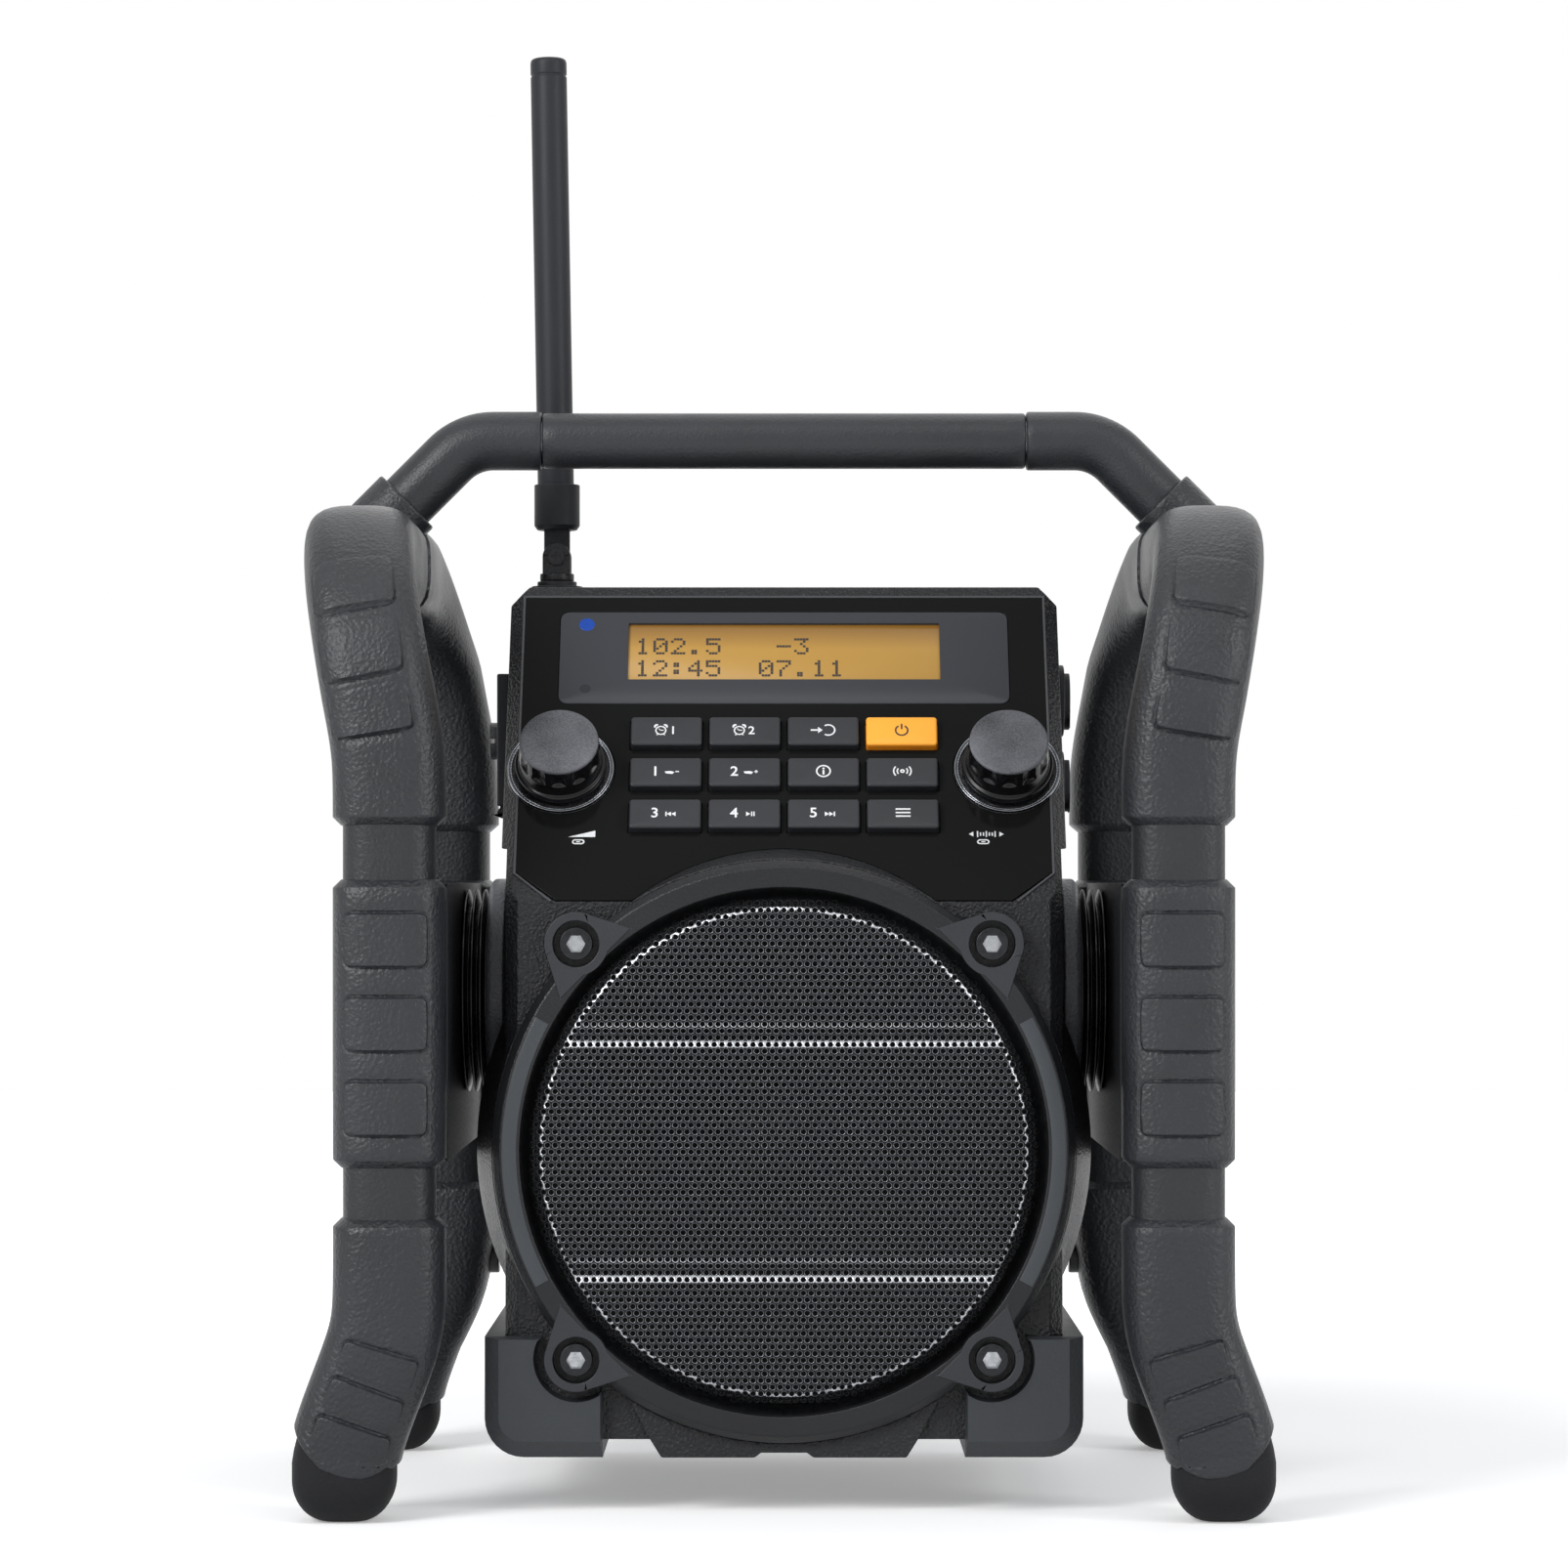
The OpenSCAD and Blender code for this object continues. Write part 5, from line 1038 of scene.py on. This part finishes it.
def pierced(low, high):
    # one hexagon of sheet for each hole, in rows half a pitch apart: six outer corners with their
    # middles, twelve points round the hole's lip, which is painted pale as a highlight, twelve at its edge and
    # twelve behind it
    p = grille["pitch"]
    i, j = np.meshgrid(np.arange(-40, 41), np.arange(-45, 46))
    cx = (p * (i + 0.5 * (j % 2))).ravel()
    cz = (p * math.sqrt(0.75) * j).ravel()
    keep = (np.hypot(cx, cz) < grille["reach"] - p * 0.3) & (cz >= low) & (cz < high)
    cx, cz = cx[keep][:, None], cz[keep][:, None]
    a = np.radians(np.arange(12) * 30.0)
    outer = np.where(np.arange(12) % 2 == 1, p / math.sqrt(3), p / 2)
    rings = []
    for radius, behind in ((outer, 0), (grille["hole"] + grille["lip"], 0), (grille["hole"], 0.12),
                           (grille["hole"] * 0.97, grille["thick"])):
        x, z = cx + radius * np.cos(a), cz + radius * np.sin(a)
        rings.append(np.stack([x, grilleFace(x, z) + behind, z + grille["z"]], -1))
    points = np.stack(rings, 1)
    count = len(cx)
    k, n = np.arange(12), (np.arange(12) + 1) % 12
    one = np.concatenate([np.stack([k + s, n + s, n + s + 12, k + s + 12], -1) for s in (0, 12, 24)])
    faces = (one[None] + 48 * np.arange(count)[:, None, None]).reshape(-1, 4)
    # painted highlights: pale metal colour at the lips, on the steep side of each channel, along the flat's
    # edge and on a row of lips near the top of each channel
    flat = points.reshape(-1, 3)
    middle = flat[faces].mean(1) - np.array([0, 0, grille["z"]])
    z, r = middle[:, 2], np.hypot(middle[:, 0], middle[:, 2])
    steep = sum((z > channel[0]) & (z < channel[1] + 0.25) for channel in channels) > 0
    paintedGlint = (steep & (r < grille["flat"])) | (np.abs(r - grille["flat"] - 0.5) < 0.45)
    which = np.tile(np.repeat([0, 1, 0], 12), count)
    paintedGlintRow = (which == 1) & (sum(np.abs(z - channel[3] + 0.2) < 0.95 for channel in channels) > 0)
    which = np.where((paintedGlint & (r < grille["flat"] + 1)) | (paintedGlintRow & (r < grille["flat"])), 2, which)
    return flat, faces, which


rimEnds = (77.2, 78.6)
rimProfile = [(r, -grilleFace(r, 0) - 0.05) for r in rimEnds]
rimProfile += [(79.9, 79.25), (80.4, 79.15), (grille["rim"], 79.15), (grille["rim"], 78.3), (80.2, 78.3),
               (77.2, 79.4)]
rim = placed(surface(turned(rimProfile, 144)), frontAxes, (0, 0, grille["z"]))
for name, low, high in (("grilleTop", 33.0, 90), ("grilleMiddle", -33.0, 33.0), ("grilleBottom", -90, -33.0)):
    points, faces, which = pierced(low, high)
    sheet, stands = (points, faces), ()
    if name == "grilleMiddle":
        sheet, stands = joined([sheet, rim]), ["speaker_grille"]
        which = np.concatenate([which, np.zeros(len(rim[1]), int)])
    makePiece(name, sheet, "radio", [grillePaint, grilleLipHighlight, grilleGlint], stands, 60, which)
print("grille done")


# paler inlays let into the left and right of the speaker's ring
inlay = {"inner": 81.5, "outer": 85.9, "face": -86.25, "back": -85.8, "half": 28.5}
low, high, face = inlay["inner"], inlay["outer"], inlay["face"]
across = np.array([[low, inlay["back"]], [low, face + 0.12], [low + 0.3, face], [high - 0.3, face],
                   [high, face + 0.12], [high, inlay["back"]]])
a = np.radians(np.linspace(-inlay["half"], inlay["half"], 61))[:, None]
inlayGrid = np.stack([across[:, 0] * np.cos(a), across[:, 1] + 0 * a,
                      grille["z"] + across[:, 0] * np.sin(a)], -1)
makePiece("ringInlays", bothSides(capped(inlayGrid)), "radio", inlaySatin, (), 40)


# ribbed buffers between the cabinet and the cage

buffer = {"start": 85.45, "z": 158.0, "length": 16.7, "rim": 32.4, "root": 27.4, "neck": 2.9,
          "flangeRadius": 35.8, "flange": 8.6, "fins": 3}
sideAxes = np.array([[0, 1.0, 0], [0, 0, 1.0], [1.0, 0, 0]])
wide, deep = buffer["flangeRadius"], buffer["flange"]
disk = roundedProfile([(26, 0), (28.5, 0), (28.5, buffer["neck"] - 0.3), (wide, buffer["neck"]),
                       (wide, deep - 1.2), (wide - 2.2, deep), (26, deep - 0.3)],
                      (0, 0.4, 0.3, 0.6, 1.4, 0.8, 0), 6)
step = (buffer["length"] - buffer["flange"]) / buffer["fins"]
along = np.linspace(buffer["flange"] - 0.6, buffer["length"], 260)
place = (along - buffer["flange"] - 0.66 * step) / step
off = np.abs(place - np.round(np.clip(place, 0, buffer["fins"] - 1))) * step
radius = buffer["root"] + (buffer["rim"] - buffer["root"]) * np.exp(-(off / 0.82) ** 4)
parts = [placed(surface(turned(g, 120)), sideAxes, (buffer["start"], 0, buffer["z"]))
         for g in (disk, np.column_stack([radius, along]))]
# the flange takes the pale rubber whose colour paints in the light falling on it
which = np.repeat([1, 0], [len(faces) for points, faces in parts])
makePiece("hubBuffers", bothSides(joined(parts)), "radio", [bellowsRubber, flangeRubberPaintedLight], ["hub_buffers"],
          40, np.tile(which, 2))
print("buffers done")


# knobs and their trim rings

knob = {"x": 69.5, "v": 49.5, "dents": 12, "dentRadius": 3.6, "dentCentre": 15.15, "dentFrom": 8.6,
        "teeth": 90}


def knobSurface():
    # radius as a function of height and angle: a skirt, a slightly tapering body, and round dents
    # cut into its upper part, each a circle whose centre lies outside the knob
    corners = [(9.6, 1.5), (14.3, 1.5), (14.12, 4.0), (13.05, 4.35), (12.35, 14.2), (11.75, 14.9)]
    body = roundedProfile(corners, (0, 0.4, 0.5, 0.3, 0.3, 0), 5)
    rows = np.unique(np.round(np.concatenate([body[4:, 1], np.linspace(4.6, 14.1, 40)]), 4))
    upper = np.interp(rows, body[4:, 1], body[4:, 0])
    r = np.concatenate([body[:4, 0], upper])
    z = np.concatenate([body[:4, 1], rows])
    a = np.linspace(0, 2 * np.pi, 240, endpoint=False)
    step = 2 * np.pi / knob["dents"]
    off = np.abs((a + step / 2) % step - step / 2)
    inside = knob["dentRadius"] ** 2 - (knob["dentCentre"] * np.sin(off)) ** 2
    limit = np.where(inside > 0, knob["dentCentre"] * np.cos(off) - np.sqrt(np.maximum(inside, 0)), 99)
    begin = 1 / (1 + np.exp(-(z - knob["dentFrom"]) / 0.12))
    cut = np.maximum(0, r[:, None] - limit[None, :]) * begin[:, None]
    rr = r[:, None] - cut
    return np.stack([rr * np.cos(a), rr * np.sin(a), z[:, None] + 0 * rr], -1)


knobBody = surface(knobSurface())
capProfile = roundedProfile([(12.0, 13.9), (12.28, 14.35), (12.2, 15.05), (11.7, 15.3), (0, 15.3)],
                            (0, 0.2, 0.3, 0.3, 0), 5)
knobTop = surface(turned(capProfile, 96))
for side, word in ((-1, "volume"), (1, "tuning")):
    body, top = (onSlope(part, side * knob["x"], knob["v"]) for part in (knobBody, knobTop))
    makePiece(word + "Knob", body, word + "_turn", knobSkirt, [word + "_knob"], 38)
    makePiece(word + "KnobCap", top, word + "_turn", knobCap, (), 38)
# the rings: a shallow channel whose inner wall carries a row of small teeth
ringCorners = [(15.2, 0.3), (15.2, 1.0), (15.75, 1.0), (15.9, 0.62), (16.05, 0.62), (16.1, 1.2),
               (16.55, 1.2), (16.6, 0.3)]
ringProfile = roundedProfile(ringCorners, (0, 0.25, 0.2, 0.1, 0.1, 0.15, 0.2, 0), 5)
a = np.linspace(0, 2 * np.pi, knob["teeth"], endpoint=False)[:, None]
tooth = np.array([[15.28, -0.2], [15.28, 0.2], [15.68, 0.2], [15.68, -0.2]])
px = tooth[:, 0] * np.cos(a) - tooth[:, 1] * np.sin(a)
py = tooth[:, 0] * np.sin(a) + tooth[:, 1] * np.cos(a)
teeth = np.stack([np.stack([px, py, np.full_like(px, n)], -1) for n in (0.95, 1.12)], 1)
knurl = (teeth.reshape(-1, 3), boxFaces(knob["teeth"]))
trimRing = surface(turned(ringProfile, 120))
rings = joined([onSlope(p, s * knob["x"], knob["v"]) for s in (-1, 1) for p in (trimRing, knurl)])
makePiece("knobRings", rings, "radio", chrome, ["knob_rings"], 40)
print("knobs done")


# keys and their legends

keySize = {"w": 22.3, "h": 10.9, "pitchX": 24.5, "pitchV": 15.9, "midV": 46.8, "top": 3.2, "edge": 0.75,
           "round": 1.1, "crown": 0.18}
keyNames = ["key_alarm_1", "key_alarm_2", "key_source", "key_power", "key_1", "key_2", "key_info", "key_scan",
            "key_3", "key_4", "key_5", "key_menu"]


def keyShape():
    # a plate with round corners and edges, whose top swells slightly towards its middle,
    # on a thin flange that holds it under the panel
    outline = roundRect(keySize["w"], keySize["h"], keySize["round"], 6)
    rings = plateRings(outline, -2.3, keySize["top"] - keySize["crown"], keySize["edge"], 5)
    inner = [np.column_stack([insetRing(outline, keySize["edge"]) * (1 - k),
                              np.full(len(outline), keySize["top"] - keySize["crown"] * (1 - k) ** 2)])
             for k in (0.2, 0.45, 0.75)]
    flange = plateRings(roundRect(keySize["w"] + 1.2, keySize["h"] + 1.2, 1.4, 6), -3.3, -2.3, 0.1, 2)
    return joined([capped(np.concatenate([rings, np.stack(inner)])), capped(flange)])


def keyPlace(index):
    # a key's middle on the slope, in rows of four from the top left
    return (index % 4 - 1.5) * keySize["pitchX"], keySize["midV"] + (1 - index // 4) * keySize["pitchV"]


keyPart = keyShape()
for index, name in enumerate(keyNames):
    x, v = keyPlace(index)
    material, slot = (powerAmber, "power_key") if name == "key_power" else (keyPlastic, "key")
    makePiece(name.replace("key_", "button_"), onSlope(keyPart, x, v), name, material, [name], 40)


# legends: thin paint in the shapes of plain numerals and signs, in millimetres round the key's middle
paint = 0.03


def plate2d(outline):
    # a flat shape as thick as the paint, without a back
    outline = np.asarray(outline, float)
    rings = np.stack([np.column_stack([outline, np.full(len(outline), z)]) for z in (0, paint)])
    return capped(rings, start=False)


def bar(x, y, w, h, lean=0.0):
    # an upright rectangle about its middle, its top pushed sideways by lean
    return plate2d([(x - w / 2, y - h / 2), (x + w / 2, y - h / 2), (x + w / 2 + lean, y + h / 2),
                    (x - w / 2 + lean, y + h / 2)])


def poly(*pts):
    # a polygon through the points, turned anticlockwise if its area comes out negative
    pts = np.array(pts, float)
    area = np.sum(pts[:, 0] * np.roll(pts[:, 1], -1) - np.roll(pts[:, 0], -1) * pts[:, 1])
    return plate2d(pts if area > 0 else pts[::-1])


def disc(x, y, r):
    # a filled circle
    a = np.linspace(0, 2 * np.pi, 16, endpoint=False)
    return plate2d(np.column_stack([x + r * np.cos(a), y + r * np.sin(a)]))


def arc(x, y, r, w, start=0.0, end=360.0, n=32):
    # a band of width w along an arc of radius r
    whole = end - start >= 359.9
    a = np.radians(np.linspace(start, end, n + 1))
    a = a[:-1] if whole else a
    stack = np.stack([np.column_stack([x + (r + side * w / 2) * np.cos(a), y + (r + side * w / 2) * np.sin(a),
                                       np.full(len(a), z)])
                      for side, z in ((-1, 0), (-1, paint), (1, paint), (1, 0))])
    return stack.reshape(-1, 3), gridFaces(4, len(a), whole)


def numeral(text, x, y, height=3.6):
    # a plain numeral from the built-in face, whose capitals are 0.7 of its size, thickened a little
    curve = bpy.data.curves.new("numeral", "FONT")
    curve.body = text
    curve.size = height / 0.7
    curve.align_x, curve.align_y = "CENTER", "CENTER"
    curve.offset = 0.02 * height
    curve.resolution_u = 4
    holder = bpy.data.objects.new("numeral", curve)
    scene.collection.objects.link(holder)
    bpy.context.view_layer.update()
    made = bpy.data.meshes.new_from_object(holder)
    points = np.array([v.co[:] for v in made.vertices])
    faces = [list(p.vertices) for p in made.polygons]
    bpy.data.objects.remove(holder)
    bpy.data.curves.remove(curve)
    bpy.data.meshes.remove(made)
    middle = (points.min(0) + points.max(0)) / 2
    return points - [middle[0], middle[1], 0] + [x, y, paint], faces


def clockSign(x, y):
    # an alarm clock: a round case, two hands, two bells and two feet
    bells = [arc(x + side * 1.25, y + 1.35, 0.62, 0.62, low, high, 12)
             for side, low, high in ((-1, 60, 215), (1, -35, 120))]
    feet = [bar(x + side * 1.2, y - 1.75, 0.45, 0.5, -side * 0.3) for side in (-1, 1)]
    hands = [bar(x + 0.42, y - 0.1, 0.95, 0.32),
             poly((x - 0.15, y - 0.25), (x + 0.15, y - 0.25), (x - 0.55, y + 0.65), (x - 0.8, y + 0.5))]
    return [arc(x, y - 0.15, 1.55, 0.42), *hands, *bells, *feet]


def cardSign(x, y):
    # a small leaning card
    return [poly((x - 1.5, y + 0.35), (x - 1.1, y - 0.4), (x + 0.9, y - 0.65), (x + 1.5, y + 0.1),
                 (x + 0.5, y + 0.5))]


def triangle(x, y, w, h):
    # an arrowhead that points to the right
    return poly((x - w / 2, y - h / 2), (x + w / 2, y), (x - w / 2, y + h / 2))


legendShapes = {
    "key_alarm_1": [*clockSign(-1.7, 0), numeral("1", 2.1, -0.1, 3.0)],
    "key_alarm_2": [*clockSign(-1.7, 0), numeral("2", 2.1, -0.1, 3.0)],
    "key_source": [bar(-2.6, 0, 2.6, 0.6), triangle(-0.9, 0, 1.5, 2.4), arc(1.6, 0, 2.0, 0.5, -125, 125, 24)],
    "key_power": [arc(0, -0.1, 1.9, 0.55, 120, 420, 32), bar(0, 1.4, 0.55, 2.1)],
    "key_1": [numeral("1", -3.2, 0), *cardSign(1.2, -0.5), bar(3.6, -0.2, 1.1, 0.4)],
    "key_2": [numeral("2", -3.2, 0), *cardSign(1.2, -0.5), bar(3.6, -0.2, 1.1, 0.4), bar(3.6, -0.2, 0.4, 1.1)],
    "key_info": [arc(0, 0, 2.1, 0.5), bar(0, -0.45, 0.6, 1.7), disc(0, 1.0, 0.38)],
    "key_scan": [arc(0, 0, 0.5, 0.5, n=20),
                 *[arc(0, 0, r, 0.45, s, s + 80, 14) for r in (1.6, 2.7) for s in (-40, 140)]],
    "key_3": [numeral("3", -3.2, 0), bar(0.35, -0.5, 0.45, 1.7), poly((1.9, -1.35), (1.9, 0.35), (0.6, -0.5)),
              poly((3.3, -1.35), (3.3, 0.35), (2.0, -0.5))],
    "key_4": [numeral("4", -3.2, 0), triangle(1.2, -0.5, 1.3, 1.7), bar(2.3, -0.5, 0.4, 1.7),
              bar(3.0, -0.5, 0.4, 1.7)],
    "key_5": [numeral("5", -3.2, 0), triangle(1.0, -0.5, 1.3, 1.7), triangle(2.35, -0.5, 1.3, 1.7),
              bar(3.3, -0.5, 0.45, 1.7)],
    "key_menu": [bar(0, y, 4.6, 0.55) for y in (1.35, 0, -1.35)],
}
for index, name in enumerate(keyNames):
    x, v = keyPlace(index)
    legend = onSlope(joined(legendShapes[name]), x, v, keySize["top"] + 0.005)
    material = legendInk if name == "key_power" else legendPaint
    makePiece(name.replace("key_", "legend_"), legend, name, material, sharp=30, weld=False)

# captions under the knobs: a rising wedge, and a scale with two arrowheads, over a small pressed-knob sign
press = [arc(-2.0, -2.7, 0.7, 0.45, 90, 270, 12), arc(0.0, -2.7, 0.7, 0.45, -90, 90, 12),
         bar(-1.0, -2.0, 2.0, 0.45), bar(-1.0, -3.4, 2.0, 0.45), bar(-1.0, -2.7, 1.2, 0.35)]
wedge = [poly((-4.2, -0.9), (4.2, -0.9), (4.2, 1.5))]
scale = [bar(x, 0.2, 0.4, 2.2 if k % 3 == 0 else 1.3) for k, x in enumerate(np.linspace(-2.7, 2.7, 7))]
arrows = [poly((-5.4, 0.2), (-4.0, -0.7), (-4.0, 1.1)), poly((5.4, 0.2), (4.0, -0.7), (4.0, 1.1))]
for name, signs, x in (("volumeSign", wedge + press, -62.4), ("tuningSign", scale + arrows + press, 62.4)):
    makePiece(name, onSlope(joined(signs), x, 24.6, 0.305), "radio", legendPaint, sharp=30, weld=False)
print("keys done")


# display

display = {"w": 98.6, "h": 22.4, "v": 96.0, "windowV": 93.4, "dot": 0.93, "gap": 0.09, "left": -46.6,
           "rows": (101.4, 92.6)}
outer = roundRect(142, 36.6, 3, 8)
inner = roundRect(display["w"], display["h"], 0.25, 8)
rise = display["v"] - display["windowV"]
# the frame round the window, ring by ring: outline, how far it is widened, its rise and its height
rings = [(outer, 0, 0, -0.9), (outer, 0, 0, 0.2), (insetRing(outer, 0.12), 0, 0, 0.42),
         (insetRing(outer, 0.35), 0, 0, 0.5), (inner, 0.15, rise, 0.5), (inner, 0, rise, 0.35),
         (inner, 0, rise, -0.9)]
frameGrid = np.stack([np.column_stack([(insetRing(o, -d) if d else o) + [0, up], np.full(len(o), n)])
                      for o, d, up, n in rings])
makePiece("displayFrame", onSlope(surface(frameGrid), 0, display["windowV"]), "radio", windowGloss,
          ["display_window"], 30)
slab = capped(plateRings(roundRect(display["w"] + 1.0, display["h"] + 1.0, 0.4, 4), -0.98, -0.55, 0.05, 2))
makePiece("displayFace", onSlope(slab, 0, display["v"]), "radio", displayAmber, (), 30)

# plain dot-matrix numbers of seven rows by five dots: for each sign the rows from the top, each as a
# two-digit hexadecimal number whose last five bits are the dots
dots = {"0": "0E11131519110E", "1": "040C040404040E", "2": "0E11010204081F", "3": "1F02040201110E",
        "4": "02060A121F0202", "5": "1F101E0101110E", "6": "0608101E11110E", "7": "1F010204080808",
        "8": "0E11110E11110E", "9": "0E11110F01020C", ":": "000C0C000C0C00", ".": "00000000000C0C",
        "-": "0000001F000000", " ": "00000000000000"}


def dotPlaces(text, left, top):
    # the middle of every dark dot of a line of text
    step = display["dot"]
    places = []
    for k, sign in enumerate(text):
        code = dots[sign]
        for row in range(7):
            bits = int(code[2 * row:2 * row + 2], 16)
            places += [(left + (6 * k + c) * step, top - row * step) for c in range(5) if bits >> (4 - c) & 1]
    return places


places = np.array(dotPlaces("102.5   -3", display["left"], display["rows"][0])
                  + dotPlaces("12:45  07.11", display["left"], display["rows"][1]))
half = (display["dot"] - display["gap"]) / 2
corners = np.array([[-half, -half], [half, -half], [half, half], [-half, half]])
flat = places[:, None, :] + corners[None]
levels = np.stack([np.concatenate([flat, np.full((*flat.shape[:2], 1), n)], -1) for n in (-0.56, -0.5)], 1)
digits = onSlope((levels.reshape(-1, 3), boxFaces(len(places))))
makePiece("displayDots", digits, "radio", legendInk, (), 30, weld=False)
# a blue dot, and a dark one that dips towards its middle: profile of radius and height, place, material
spots = {"wirelessDot": ([(2.5, 0.3), (2.5, 0.56), (2.3, 0.6), (0, 0.6)], 106.5, blueDot),
         "sensorDot": ([(1.8, 0.3), (1.8, 0.52), (1.6, 0.54), (0, 0.5)], 81.0, sensorDark)}
for name, (profile, v, material) in spots.items():
    spot = surface(turned(roundedProfile(profile, (0, 0.1, 0.1, 0), 4), 40))
    makePiece(name, onSlope(spot, -62.6, v), "radio", material, (), 30)
print("display done")
